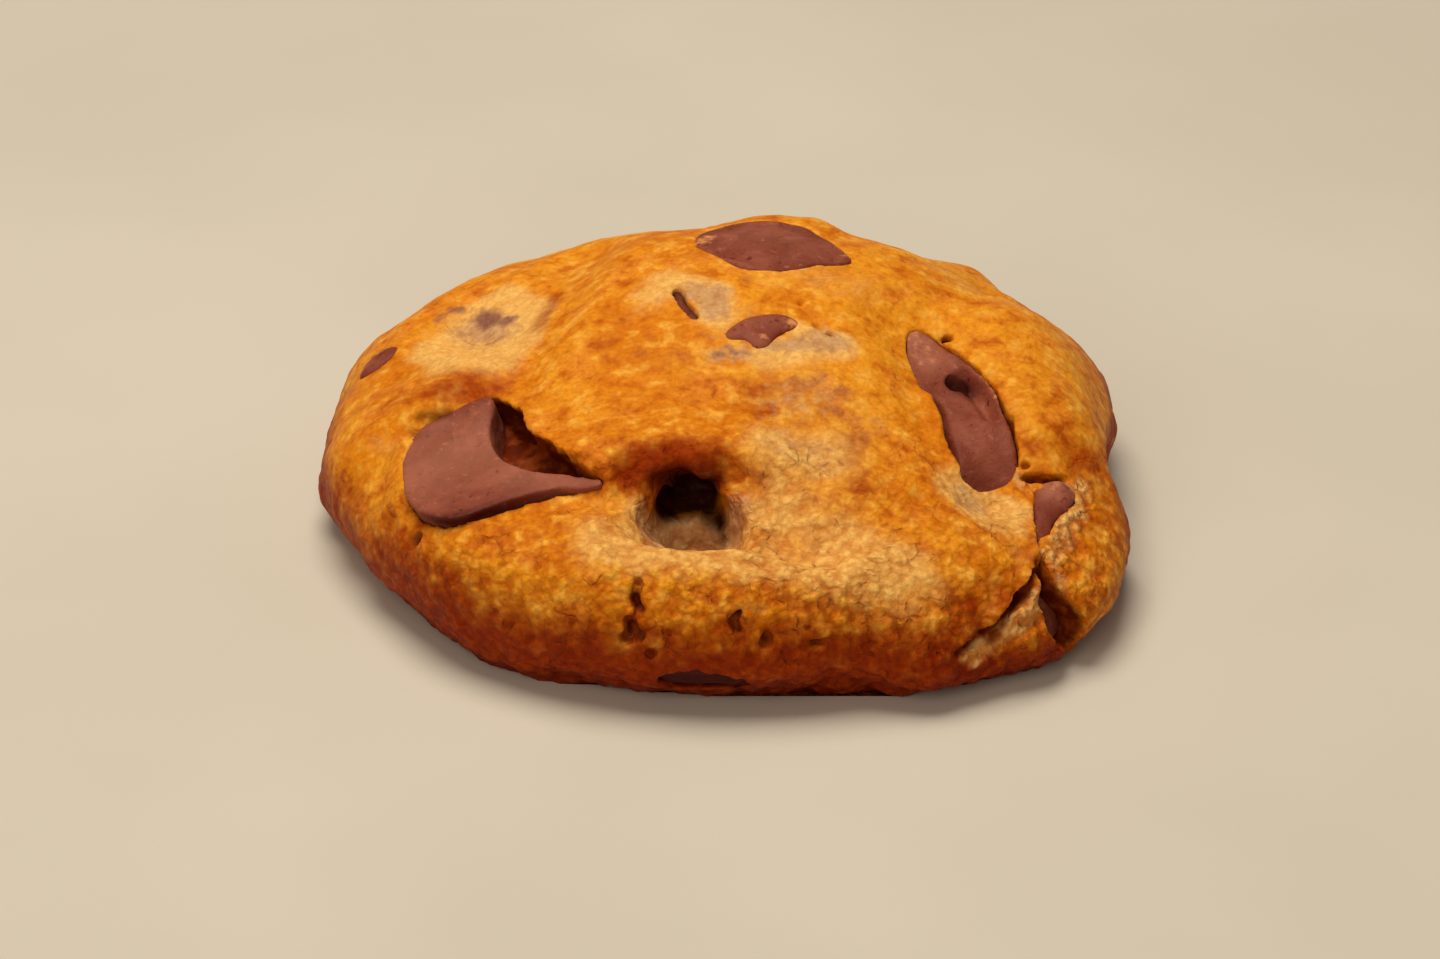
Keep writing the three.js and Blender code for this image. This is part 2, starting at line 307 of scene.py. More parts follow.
# %% Press the smaller forms
press(dough, [
    ("front foot", [(-13, -31, 0.2), (0, -33, 0.2), (8, -33, 0.2), (18, -32, 0.2)], 5, (0, 1.7, 0)),
    ("left foot", [(-33.5, -9, 1), (-30.5, -15, 0.5), (-26.5, -21, 0.3), (-22.5, -25, 0.3)],
        5, (0.7, 0.7, 0)),
    ("left tip", [(-36.3, -3.4, 3.3)], 4, (-0.7, -0.3, 0)),
    ("left back rim", [(-37, 2, 6.6), (-35.8, 7, 8.6)], 5, (0.8, -0.2, -0.4)),
    ("left back top", [(-30, 17.6, 11.8), (-25, 21, 12.8)], 6, (0.5, -0.7, -0.7)),
    ("back top", [(-6, 22, 18), (-2.3, 23.2, 17.8)], 6, (0, -0.2, -0.45)),
    ("behind the top chunk", [(3.5, 19.6, 19.8), (7, 19.4, 19.9), (10.5, 17.5, 19.8)], 3, (0, 0, 0.3)),
    ("left of the top chunk", [(-2.6, 19, 19.4), (0.6, 19.4, 19.8)], 4, (0, 0, -0.55)),
    ("right of the top chunk", [(13.5, 20.6, 18.1), (17.5, 20, 17.2)], 5, (0, -0.2, -0.7)),
    ("back shoulder", [(23.5, 20, 14.5)], 3, (0, 0, 0.4)),
    ("shoulder step", [(27.6, 18, 12.8)], 3.2, (-0.3, -0.3, -0.7)),
    ("right rim", [(37.2, 6.4, 6)], 5.5, (-0.7, 0, 0)),
    ("notch in the rim", [(36.6, -1, 5), (36.6, -5, 6.4), (36.2, -8, 7.6)], 5, (-2.6, 0.2, 0)),
    ("foot under the notch", [(36.4, 4.4, 2), (36.6, 2, 2.6), (36.2, -2, 2.2)], 4.4, (-1.1, 0, 0)),
    ("left front foot", [(-18.4, -28.4, 0.4)], 3.4, (0.2, 0.7, 0)),
    ("left foot, middle", [(-33.2, -13.5, 3.9)], 4, (0.6, 0.4, 0)),
    ("front right foot", [(14.6, -31, 0.3)], 3, (0.1, -0.8, 0)),
    ("corner foot", [(33, -24.3, 1.2)], 5, (-0.4, 0.4, 0)),
    ("front foot, right", [(10.4, -30.8, 0.2)], 3.6, (0, -1.2, 0)),
    ("front foot, left", [(-14, -29.2, 0.2)], 3, (0, -0.8, 0)),
    ("right back shoulder", [(11.3, 18.6, 20), (15.3, 22, 17.4), (19.1, 21.6, 16)], 4, (0, -0.1, -0.45)),
    ("right back, lower", [(12, 25, 16), (15.4, 25.4, 15), (19, 24.6, 13.8)], 4, (0, -0.5, -0.5)),
    ("hole, floor", [(-4.6, -24, 8), (-0.8, -24.2, 8)], 4.4, (0, 0, 2.2)),
    ("brow, face", [(-7.4, -21.2, 16), (-5, -21.2, 16.6), (-2.6, -21.4, 16.8), (0.6, -22, 16.6)],
        3, (0, 1.2, 0)),
    ("brow, crown", [(-3.6, -20.2, 17.6), (-1, -20.4, 17.6)], 2.4, (0, 0.9, -0.1)),
    ("hole, pocket", [(-4, -20.8, 12.8), (-1.4, -20.8, 12.8)], 2.7, (0, 4.4, 0.2)),
    ("hole, inner floor", [(-4, -20, 9.6), (-1.6, -20, 9.6)], 3, (0, 0, 1.2)),
    ("hole, left slope", [(-6.8, -22.2, 12), (-7, -24, 11)], 2.8, (-0.3, -0.2, 1.9)),
    ("hole, right edge", [(1.4, -21.6, 16.4), (3.8, -22.4, 16.6)], 3.4, (0.6, 1.2, -0.8)),
    ("hole, right slope", [(2.2, -23.2, 12.6), (2.8, -24.8, 12)], 3, (-0.2, -0.8, 1.5)),
    ("trough, left end", [(-13, -23.6, 13.8), (-10.4, -24.6, 13)], 4, (0, 0, 1.1)),
    ("brow, underside", [(-5, -20.8, 14.7), (-2.8, -20.6, 15), (-0.8, -20.8, 14.7)], 1.8, (0, 1.5, 0.25)),
    ("roll crest", [(-9, -29.2, 13.6), (-3.6, -30, 13.6), (2, -30.4, 13.5), (6, -30.6, 13.2)],
        2.4, (0, 0.4, -0.1)),
    ("roll crease", [(-1, -28.6, 12.6), (5, -29.2, 12.4), (9, -29.4, 12.4)], 1.6, (0, 0.2, -0.6)),
    ("bowl front edge", [(-24.6, -0.4, 15.6), (-22, -3.8, 16.6), (-19, -2.6, 16.6)], 2.8, (0, 0.6, 0.6)),
    ("bowl right edge", [(-17.4, 1.6, 17.2), (-16, 5.2, 17.4)], 2.6, (-0.4, 0, 0.3)),
    ("bowl floor", [(-22.5, 2, 15)], 4.5, (0, 0, -0.7)),
    ("left ridge crest", [(-33, -9, 10.6), (-28, -8, 14.6), (-24, -6.4, 16.2)], 3, (0, 0, 0.5)),
    ("beside the left chunk", [(-28.6, -17.2, 11.8), (-28.6, -14.4, 12.4), (-28.2, -12, 13.2)],
        2.4, (0, 0, 0.95)),
    ("below the left chunk", [(-16.2, -21.9, 13.3), (-14.4, -20.9, 13.7)], 2.2, (0, 0, 0.7)),
    ("saddle", [(22.5, -20, 12.6)], 4, (0, 0, -0.6)),
    ("lobe back dip", [(24.5, 12, 16.6)], 4, (0, 0, -0.5)),
])

# %% [markdown]
# ## Where each chunk lies
#
# A chunk that lay in the dough melted, kept its outline and set again nearly flush with the skin. Each
# one is given as the place and facing that its solid has, with the corners of its outline in its own
# plane, its thickness, and how far it stands out of the skin (`proud`, below zero where it has sunk).
# `laid` says that it follows the skin; a chunk that broke through keeps its flat face, and may `lean`.
# Where a film of dough runs over the edge of a chunk, its rim dips under the skin (`dip`) and the dough
# covers it (`cover`), so that no joint shows. Elsewhere the cover is below zero: that is the hair's
# breadth by which the dough stands off, where the chocolate shrank as it set.

# %% The chunks
USUAL = dict(heart=(0, 0), proud=0, laid=True, dip=0, cover=-0.1, lean=(0, 0, 0))
CHUNKS = {
    "chunk_left": dict(
        at=(-19.8, -17.9, 15.8), facing=(-0.22, -0.13, 0.967), heart=(-2.2, -0.6), thick=5, proud=-1.1,
        laid=False, cover=0.16, lean=(0.3, 1.4, 0),
        corners=[(-8.7, 3.2), (-8.3, 5.6), (-7.4, 7.5), (-5.7, 8), (-4.4, 8.8), (-3, 9.7), (-1, 10.3),
                 (-0.3, 9.5), (-0.7, 7.3), (-0.9, 5), (-0.3, 2.6), (0.9, 0.2), (2.7, -0.9), (5.4, -1.1),
                 (7.4, -1.6), (9.1, -2.6), (10.2, -3.7), (9.6, -4.3), (8, -3.8), (5.8, -3.2), (4, -3.7),
                 (2.3, -4.8), (0.2, -5.4), (-2.2, -6.1), (-3.6, -6.5), (-4.9, -6), (-6.8, -4.5),
                 (-7.9, -2.2), (-8.6, 0.3)]),
    "chunk_top": dict(
        at=(5, 12, 21.9), facing=(0.16, 0.21, 0.96), thick=4.5, proud=-0.1,
        corners=[(-7.3, 0.2), (-6.8, 2.5), (-5.2, 3.8), (-3.6, 4.9), (-1.7, 5.4), (0.3, 5.4), (1.8, 4.7),
                 (3.6, 3), (5.1, 0.5), (6.2, -1.5), (7.1, -3.9), (5.5, -4.2), (3.4, -4.8), (1.9, -5.6),
                 (0.5, -6.2), (-1.8, -6.5), (-3, -6.1), (-3.9, -5.4), (-5, -4.4), (-5.7, -3.1),
                 (-6.9, -2.6)]),
    "chunk_right": dict(
        at=(21.4, -8.8, 15.5), facing=(0, -0.13, 0.99), heart=(0.4, -1), thick=4.5, proud=-0.75,
        corners=[(-4.8, 10.6), (-4.8, 8.4), (-4.9, 5.7), (-4.6, 4.4), (-3.8, 2.6), (-3.1, 1), (-2.7, -0.6),
                 (-2.5, -2.4), (-2.5, -4), (-2, -6), (-1.1, -7.6), (-0.4, -8.9), (0.1, -9.8), (1.2, -9.3),
                 (2.6, -8.4), (4, -7.3), (4.8, -6.2), (4.6, -4.6), (4.6, -3.1), (4.2, -1.8), (3.8, -0.6),
                 (3.4, 0.9), (2.9, 2.4), (2, 4.4), (0.7, 6.2), (-0.6, 8), (-2.2, 9.6), (-3.6, 10.8)]),
    "chunk_side": dict(
        at=(29.4, -19.4, 11.3), facing=(0.33, -0.25, 0.91), heart=(-0.3, 1), thick=4.5, proud=-0.05,
        dip=0.3, cover=0.25,
        corners=[(-1.8, 3), (-1.2, 3.5), (0.2, 3.9), (1.2, 4), (1.8, 3.6), (1.7, 2.2), (0.8, 0.3),
                 (-0.2, -0.9), (-0.6, -2.4), (-1.5, -3.9), (-2.1, -3.2), (-2, -1.2), (-2, 1.1)]),
    "chunk_middle": dict(
        at=(4.2, -3.7, 20.8), facing=(0.16, -0.28, 0.95), heart=(-0.7, 0), thick=3.5, dip=0.3, cover=0.25,
        corners=[(-4.2, -0.9), (-3.2, 0.3), (-2.1, 1.5), (-0.9, 2.1), (1.1, 2.4), (2.7, 1.6), (2.7, 0.8),
                 (1.5, -0.2), (0.6, -1), (0.2, -2), (-0.9, -2.8), (-1.8, -2.1), (-2, -1.4), (-3.2, -1.7),
                 (-4.1, -1.3)]),
    "chunk_small": dict(
        at=(-2.3, 0.8, 21.7), facing=(0.14, -0.13, 0.98), heart=(-0.6, -0.8), thick=2.4, proud=-0.6,
        corners=[(-2, 1.2), (-1.6, 1.9), (-1.1, 0.9), (-0.6, -0.7), (0.2, -2), (0.3, -3.2), (-0.5, -2.7),
                 (-1.2, -1.3), (-1.8, 0.1)]),
    "chunk_left_back": dict(
        at=(-22.2, 7.8, 15), facing=(-0.38, -0.07, 0.92), thick=3.6, proud=-0.04, dip=0.16, cover=1.5,
        corners=[(-3.6, 1.6), (-3.2, 3), (-2, 3.9), (0.1, 3.5), (2, 2.3), (3, 0.4), (3, -1.8), (2.1, -3.3),
                 (0.7, -3.7), (-1.2, -2.4), (-2.6, -0.4)]),
    "chunk_left_rim": dict(
        at=(-32, 6, 12.6), facing=(-0.66, 0.08, 0.75), thick=2.8, proud=0.15, dip=0.2, cover=0.1,
        corners=[(-2.1, -1), (-1.7, 0.6), (-0.4, 1.6), (1.2, 1.7), (2.1, 0.8), (1.6, -0.7), (0.2, -1.6),
                 (-1.2, -1.7)]),
    "chunk_front": dict(
        at=(-1.5, -35.1, 2.7), facing=(0.02, -0.92, -0.39), heart=(-0.6, 0.2), thick=3.6, proud=-0.35,
        corners=[(-4, 0.3), (-3.2, 1.3), (-1, 1.7), (1, 1.5), (2.6, 1.1), (3.8, 0.2), (3, -0.9),
                 (-0.3, -1.1), (-3, -1.1)]),
    "chunk_crack": dict(
        at=(29.6, -28.2, 5.6), facing=(0.76, -0.59, 0.28), heart=(-0.6, 0.2), thick=3, proud=-2.3,
        laid=False,
        corners=[(-3.4, 2.6), (-2.6, 3), (-1.4, 1.9), (0.2, 1.4), (1.8, 1), (2.6, -0.2), (1.6, -1.4),
                 (0, -1.5), (-1.7, -1), (-2.7, 0.4)]),
    "chunk_back": dict(
        at=(12, 28.1, 14.1), facing=(0.16, 0.6, 0.78), thick=4.5,
        corners=[(-6, -0.8), (-5.4, 1.6), (-3.2, 3), (-0.4, 3.3), (2.6, 2.6), (4.9, 2), (6.1, 0.2),
                 (4.8, -1.8), (2.2, -3.2), (-0.6, -3.6), (-3.4, -3.1), (-5.2, -2.4)]),
}
CHUNKS = {solid: USUAL | chunk for solid, chunk in CHUNKS.items()}
print(len(CHUNKS), "chunks")

# %% [markdown]
# Melted chocolate has no corners, so an outline is a smooth closed curve through the points given for
# it. A curve object could do the same, but its points would lie unevenly.

# %% Draw an outline
RING = 64  # points round an outline
FINE = 12  # steps of the curve from one corner to the next


def smooth_ring(corners, count=RING):
    """Evenly spaced points on a closed curve through the corners, softened a little."""
    corners = np.array(corners, float)
    fine = []
    for i in range(len(corners)):
        a, b, c, d = (corners[(i + k) % len(corners)] for k in (-1, 0, 1, 2))
        for t in np.linspace(0, 1, FINE, endpoint=False):
            bend, twist = 2 * a - 5 * b + 4 * c - d, 3 * b - a - 3 * c + d
            fine.append(0.5 * (2 * b + (c - a) * t + bend * t**2 + twist * t**3))
    fine = np.array(fine + fine[:1])
    along = np.concatenate([[0], np.cumsum(np.linalg.norm(np.diff(fine, axis=0), axis=1))])
    wanted = np.linspace(0, along[-1], count, endpoint=False)
    ring = np.stack([np.interp(wanted, along, fine[:, axis]) for axis in (0, 1)], axis=1)
    for _ in range(2):
        ring = 0.5 * ring + 0.25 * (np.roll(ring, 1, axis=0) + np.roll(ring, -1, axis=0))
    return ring


print("a ring of", len(smooth_ring(CHUNKS["chunk_left"]["corners"])), "points")

# %% [markdown]
# The plate with that outline is a circle filled with a fan of triangles: its ring is moved onto the
# curve and its middle onto the heart of the chunk, and subdividing it fills the face with points that
# can follow the skin. Drawn out along one way, it becomes a closed body.

# %% Make a plate, draw it out and lay it on the skin
RIM_FADE = 1.1  # how far in from its rim a chunk dips, in mm
FROM_OUTSIDE = 12  # from how far out a plate is laid on the skin, in mm


def plate(name, at, facing, corners, heart, proud=0.0, cuts=5):
    """A flat face with this outline, lying at its place."""
    bpy.ops.mesh.primitive_circle_add(vertices=RING, radius=1, fill_type="TRIFAN", location=(0, 0, 0))
    piece = just_added(name)
    mesh = start_editing(piece)
    outline = smooth_ring(corners)
    if np.cross(outline[1] - outline[0], np.array(heart) - outline[0]) < 0:
        outline = outline[::-1]
    rim = [corner for corner in mesh.verts if corner.co.length > 0.5]
    middle = next(corner for corner in mesh.verts if corner.co.length < 0.5)
    rim.sort(key=lambda corner: math.atan2(corner.co.y, corner.co.x))
    for corner, (x, y) in zip(rim, outline):
        corner.co = Vector((x, y, 0)) * MM
    middle.co = Vector((*heart, 0)) * MM
    bmesh.update_edit_mesh(piece.data)
    hold_all()
    bpy.ops.mesh.subdivide(number_cuts=cuts)
    stop_editing()
    out = Vector(facing).normalized()
    set_in_place(piece, Vector(at) * MM + out * proud * MM, out)
    return piece


def extrude_along(piece, way):
    """Turns a plate into a closed body, drawn out along a way in mm."""
    start_editing(piece)
    hold_all()
    bpy.ops.mesh.extrude_region_move(TRANSFORM_OT_translate={"value": Vector(way) * MM})
    hold_all()
    bpy.ops.mesh.normals_make_consistent(inside=False)
    stop_editing()


def lay_on(piece, skin, facing, proud, dip):
    """Moves every point of a plate along its facing onto the skin, and out of it by proud."""
    tree = BVHTree.FromObject(skin, bpy.context.evaluated_depsgraph_get())
    out = Vector(facing).normalized()
    rim = kdtree.KDTree(RING)
    for corner in piece.data.vertices[:RING]:
        rim.insert(corner.co, corner.index)
    rim.balance()
    for corner in piece.data.vertices:
        inwards = min(1, rim.find(corner.co)[2] / (RIM_FADE * MM))
        hit, _, _, _ = tree.ray_cast(corner.co + out * FROM_OUTSIDE * MM, -out)
        if hit is not None:
            corner.co = hit + out * (proud - dip * (1 - inwards) ** 2) * MM

# %% [markdown]
# ## Pouring the chunks
#
# Each chunk is its plate, laid on the skin and drawn out downwards. A real one has no sharp edge, since
# it melted: a voxel remesh gives it even faces, and smoothing rounds its edges. The skin that the plates
# lie on is a copy of the dough from before it is opened, because the chunks melted into whole dough.

# %% Keep the whole skin and pour the chunks
pick_up(dough)
bpy.ops.object.duplicate()
whole_skin = bpy.context.object
whole_skin.name = "whole_skin"

GRAIN_OF_CHOCOLATE = 0.2  # size of a face, in mm
chocolate = {}
for solid, chunk in CHUNKS.items():
    at, facing, proud = chunk["at"], chunk["facing"], chunk["proud"]
    piece = plate("melted_" + solid, at, facing, chunk["corners"], chunk["heart"], proud)
    if chunk["laid"]:
        lay_on(piece, whole_skin, facing, proud, chunk["dip"])
    extrude_along(piece, -chunk["thick"] * Vector(facing).normalized() + Vector(chunk["lean"]))
    add_and_apply(piece, "REMESH", mode="VOXEL", voxel_size=GRAIN_OF_CHOCOLATE * MM)
    add_and_apply(piece, "SMOOTH", factor=0.5, iterations=12)
    chocolate[solid] = piece
    say(piece)

# %% [markdown]
# Chocolate that sets in a hollow is not flat: it sags towards its ends, rounds down where it stops, and
# keeps the dents of what touched it. These are presses again, on the poured chunks.

# %% Press the chunks
MELTED = {
    "chunk_left": [
        ("tip sinks", [(-11.6, -20.4, 16)], 8, (-0.3, -0.2, -1.4)),
        ("peak", [(-20.4, -8.6, 15.8), (-21.4, -10.4, 15.6)], 2.6, (0, 0, 0.35)),
        ("soft dip", [(-22, -15.5, 14.2)], 5, (0, 0, -0.3)),
        ("left edge", [(-27.6, -17, 13), (-26.6, -20.6, 12.8)], 2.4, (0, 0, -0.3)),
        ("back edge", [(-26.2, -10, 14), (-23.6, -9, 15), (-21.6, -8.6, 15.6)], 2.2, (0, 0, 0.45)),
        ("tongue", [(-13.6, -20.4, 16), (-10.4, -21.6, 15.6)], 1.6, (0, 0, 0.3)),
    ],
    "chunk_top": [
        ("dome", [(5.5, 11.5, 22)], 6, (0, 0, 0.25)),
        ("front edge", [(0, 8.5, 22), (5, 6.4, 22), (10, 8, 21)], 1.6, (0, 0, -0.25)),
    ],
    "chunk_right": [
        ("lower end", [(21.6, -17.8, 13), (24.2, -16.8, 13)], 4, (0, 0.4, -2)),
        ("left side", [(18.4, -8.6, 16), (18.9, -12, 15), (20.2, -15.8, 14)], 1.5, (0.1, 0, -2)),
        ("belly", [(22.6, -11.6, 15)], 3.2, (0, 0, 0.5)),
        ("upper end", [(17.6, 0, 17.6), (18.4, -3.4, 17)], 3.6, (0, 0, 0.45)),
        ("groove", [(21.4, -4.4, 16.8), (22.8, -6.8, 16.2), (23.8, -8.8, 15.6)], 1.2, (0, 0, -1.1)),
        ("right ridge", [(21.4, -1.6, 17.2), (23.4, -4.4, 16.8), (24.6, -7.2, 16)], 1.1, (0, 0, 0.35)),
    ],
    "chunk_crack": [
        ("upper end", [(28.0, -28.4, 8), (28.8, -28.8, 6.4)], 3.2, (-1.2, 0.9, -0.2)),
    ],
    "chunk_side": [
        ("dome", [(29.6, -17.6, 11.4)], 2.4, (0, 0, 0.35)),
        ("low end", [(28.4, -22.4, 10.6)], 2.2, (0, 0, -0.5)),
    ],
}
for solid, presses in MELTED.items():
    press(chocolate[solid], presses)

# %% [markdown]
# ## Tools that open the dough
#
# A crack is a wedge laid along a row of points on the skin: wide above the crust, with a sharp edge
# below it, and it may lean, so that one lip hangs over. It is made rough before it cuts, because dough
# tears along no straight line. Sculpting could do this too, but would not keep its place when the dough
# is changed.

# %% Make a tool for cracks
def nearest_on(skin_tree, point):
    """The place on the skin that is nearest to a point, and the way out of the skin there."""
    hit, normal, _, _ = skin_tree.find_nearest(Vector(point) * MM)
    return hit, normal


def roughen(tool, amount, pitch):
    """Subdivides a tool and shakes its surface by amount, from one bump to the next in pitch."""
    add_and_apply(tool, "SUBSURF", subdivision_type="SIMPLE", levels=2, render_levels=2)
    noise = bpy.data.textures.new("ragged", "CLOUDS")
    noise.noise_scale = pitch * MM
    noise.noise_depth = 1
    add_and_apply(tool, "DISPLACE", texture=noise, texture_coords="LOCAL", strength=2 * amount * MM)


ABOVE_SKIN = 0.8  # how far a wedge stands out of the skin, in mm
THINNEST = 0.12  # what is left of its width and depth at its ends
BLUNT = 0.6  # below 1, it keeps its width for longer and tapers late


def crack_tool(name, skin_tree, path, width, depth, lean):
    """A wedge along a path on the skin, tapered at both ends."""
    sections = []
    for i, point in enumerate(path):
        here, normal = nearest_on(skin_tree, point)
        before = Vector(path[max(i - 1, 0)])
        after = Vector(path[min(i + 1, len(path) - 1)])
        side = (after - before).cross(normal).normalized()
        taper = max(THINNEST, math.sin(math.pi * (i + 0.35) / (len(path) - 0.3)) ** BLUNT)
        half = width / 2 * taper * MM
        sections.append([
            here + side * half + normal * ABOVE_SKIN * MM,
            here - side * half + normal * ABOVE_SKIN * MM,
            here + side * lean * taper * MM - normal * depth * taper * MM,
        ])
    bpy.ops.mesh.primitive_circle_add(vertices=3, radius=1, fill_type="NGON", location=(0, 0, 0))
    tool = just_added(name)
    mesh = start_editing(tool)
    for corner, place in zip(mesh.verts, sections[0]):
        corner.co = place
    for last, section in zip(sections, sections[1:]):
        bpy.ops.mesh.extrude_region_move(TRANSFORM_OT_translate={"value": (0, 0, 0)})
        mesh = bmesh.from_edit_mesh(tool.data)
        for corner in [corner for corner in mesh.verts if corner.select]:
            nearest = min(range(3), key=lambda k: (corner.co - last[k]).length)
            corner.co = section[nearest]
    hold_all()
    bpy.ops.mesh.normals_make_consistent(inside=False)
    stop_editing()
    return tool

# %% [markdown]
# A pit is a small lump pushed into the skin. A boolean takes the tool's shape out of the dough, as a
# corer does with an apple, and the tool is thrown away after its one cut.

# %% Make a tool for pits, and cut with a tool
def pit_tool(name, skin_tree, at, size, depth):
    """A lump of this size, sunk by depth below the skin."""
    here, normal = nearest_on(skin_tree, at)
    bpy.ops.mesh.primitive_ico_sphere_add(subdivisions=3, radius=1, location=(0, 0, 0))
    tool = just_added(name)
    tool.scale = Vector(size) * MM / 2
    set_in_place(tool, here + normal * (size[2] / 2 - depth) * MM, normal)
    return tool


def throw_away(piece):
    """Deletes a piece that has done its work."""
    pick_up(piece)
    bpy.ops.object.delete()


def cut_out(piece, tool):
    """Takes the tool's shape out of a piece, and throws the tool away."""
    add_and_apply(piece, "BOOLEAN", operation="DIFFERENCE", solver="MANIFOLD", object=tool)
    throw_away(tool)

# %% [markdown]
# ## Opening the sockets
#
# A socket has the outline of its chunk, a tenth of a millimetre wider, and is deeper than the chunk is
# thick and open above it. The gap is a thin dark line in the picture. Where the dough covers the rim of
# a chunk, the socket is narrower than the chunk instead.

# %% Cut the sockets
SOCKET_CORNERS = 40
ABOVE, BELOW = 4, 0.3  # how far a socket reaches past its chunk, in mm
MORE_IF_LAID = 1.2  # and further down, where the chunk follows a hollow skin
for chunk in CHUNKS.values():
    ring = smooth_ring(chunk["corners"], SOCKET_CORNERS)
    away = ring - np.array(chunk["heart"])
    wider = ring + away * -chunk["cover"] / np.linalg.norm(away, axis=1, keepdims=True)
    socket = plate("socket", chunk["at"], chunk["facing"], wider, chunk["heart"], ABOVE, cuts=0)
    sunk = -min(chunk["proud"], 0)
    deep = chunk["thick"] + ABOVE + sunk + BELOW + (MORE_IF_LAID if chunk["laid"] else 0)
    extrude_along(socket, -deep * Vector(chunk["facing"]).normalized())
    cut_out(dough, socket)
say(dough)

# %% [markdown]
# ## The cavity, the cracks and the pits
#
# Behind the left chunk the crust tore away and left a dark cavity with ragged, overhanging edges. It is
# cut with a plate like a chunk's, drawn out down and back under the crust.

# %% Cut the cavity
skin_tree = BVHTree.FromObject(whole_skin, bpy.context.evaluated_depsgraph_get())

FACE = CHUNKS["chunk_left"]["facing"]
CAVITY = [(-1.4, 10.9), (0.6, 10.5), (2.2, 8.6), (2.9, 6.4), (3.3, 4.4), (4.8, 2.4), (6.2, 0.2), (8.2, -2.4),
          (9.8, -4.4), (7.2, -3.8), (5.2, -2.2), (2.5, -2.2), (0.1, -1.2), (-1, 2.4), (-1.6, 4.8)]
cavity = plate("cavity", (-20.4, -18.4, 15.8), FACE, CAVITY, heart=(2, 1), proud=2, cuts=1)
extrude_along(cavity, -6.4 * Vector(FACE) + Vector((0.8, 1.2, 0)))
roughen(cavity, amount=0.6, pitch=1.2)
cut_out(dough, cavity)
say(dough)

# %% [markdown]
# At the lower right the corner cracked off in two pieces: one long crack runs down from the side chunk
# under the lip of the roll, and a second one parts the two torn pieces. The notch runs out to the rim,
# and small splits and creases lie on the face of the roll and on the crown.

# %% Cut the cracks
# name, path, width, depth, lean, and how rough it is: by how much, and from bump to bump
CRACKS = [
    ("crack by the side chunk", [(26.8, -15.2, 12.7), (27.4, -18, 11.8), (27.3, -20.5, 11.3),
        (27.2, -22.8, 11), (27.4, -24.6, 10.4)], 1.4, 3.6, 0, 0.16, 0.7),
    ("long crack", [(27.3, -22.4, 11.1), (27.5, -25, 10.3), (27.1, -27, 9.5), (26.2, -29, 8.3),
        (24.7, -30.5, 7.3), (22.9, -32, 6.2), (20.8, -33.4, 5.4), (18.6, -34.6, 4.6)],
        1.5, 3.4, 1.6, 0.2, 0.8),
    ("short crack", [(27.7, -24.6, 10.3), (28.1, -26.6, 9.2), (28.5, -28.3, 7.7), (29.2, -29, 6),
        (30, -29, 4.4), (31, -28, 2.6), (31.4, -27.2, 1)], 2.8, 4.6, 0.8, 0.3, 0.9),
    ("notch", [(26, -15.7, 12.9), (27.6, -15.8, 12.7), (29.2, -15.9, 12.4), (31, -15, 12.1)],
        1.5, 3, -0.5, 0.3, 0.8),
    ("notch, outer end", [(30.6, -15, 12.1), (33.2, -12.7, 11.5), (34.6, -11.1, 10.6), (36.2, -9.8, 8.6)],
        0.8, 1.6, -0.4, 0.2, 0.7),
    ("saddle crease", [(24.2, -20.2, 12.2), (26, -20.5, 11.6), (27.6, -20.6, 11.4)],
        0.6, 1.2, 0, 0.06, 0.5),
    ("front split", [(-7.5, -31.2, 12.8), (-7, -32.4, 12), (-7.5, -33.2, 11.1), (-6.9, -33.8, 10.1),
        (-7.7, -34.3, 9), (-7.2, -34.7, 8)], 1.5, 2.4, 0.1, 0.24, 0.5),
    ("front split, low", [(-8.2, -33.8, 9.6), (-7.8, -34.2, 8.8), (-7, -34.5, 7.9), (-6.8, -34.8, 7.2)],
        1.7, 2.2, 0, 0.5, 0.9),
    ("front tear", [(-6.6, -35, 5.3), (-5.2, -35.2, 4.9), (-3.6, -35.5, 5.1)], 0.9, 1.6, 0, 0.24, 0.5),
    ("middle split", [(1.9, -33.6, 10.6), (1, -34.4, 9.6), (1.8, -35, 8.6), (1.3, -35.3, 7.6)],
        1.7, 2.2, 0.2, 0.5, 0.9),
    ("crust edge over the chunk", [(-26.8, -10.2, 13.9), (-25.2, -9.5, 14.5), (-23.6, -9.2, 15)],
        1, 1.8, -0.3, 0.2, 0.6),
    ("crust tear", [(6, 0.6, 21.6), (7.5, -0.8, 21.2), (8.2, -2.6, 20.8), (9.4, -3.8, 20.5),
        (11.4, -4.4, 20.1), (14, -2.6, 19.7)], 1, 1.6, -0.6, 0.24, 0.6),
    ("crown line", [(2.6, 2, 22), (4.2, 2.9, 22)], 0.7, 0.8, 0, 0.05, 0.5),
    ("crease behind", [(-7.4, 10.2, 21.4), (-5.2, 10.2, 21.8), (-3.6, 8.8, 22.1)], 0.6, 0.8, 0, 0.05, 0.5),
    ("roll crease, right", [(2.6, -30.2, 13.3), (5.3, -30.5, 13), (9, -30, 12.6)],
        0.6, 1.2, 0.4, 0.06, 0.5),
    ("fold of the roll", [(5.6, -34.9, 7.6), (7.4, -34.9, 7.1), (9.4, -34.5, 7.4), (10.6, -34, 8.2)],
        1.2, 1.8, -0.3, 0.16, 0.5),
    ("right split", [(8.8, -32.4, 11.4), (9.4, -33.5, 9.8), (8.8, -34.3, 8.4)], 1, 1.8, 0, 0.14, 0.5),
]
for name, path, width, depth, lean, ragged, pitch in CRACKS:
    tool = crack_tool(name, skin_tree, path, width, depth, lean)
    roughen(tool, ragged, pitch)
    cut_out(dough, tool)
say(dough)

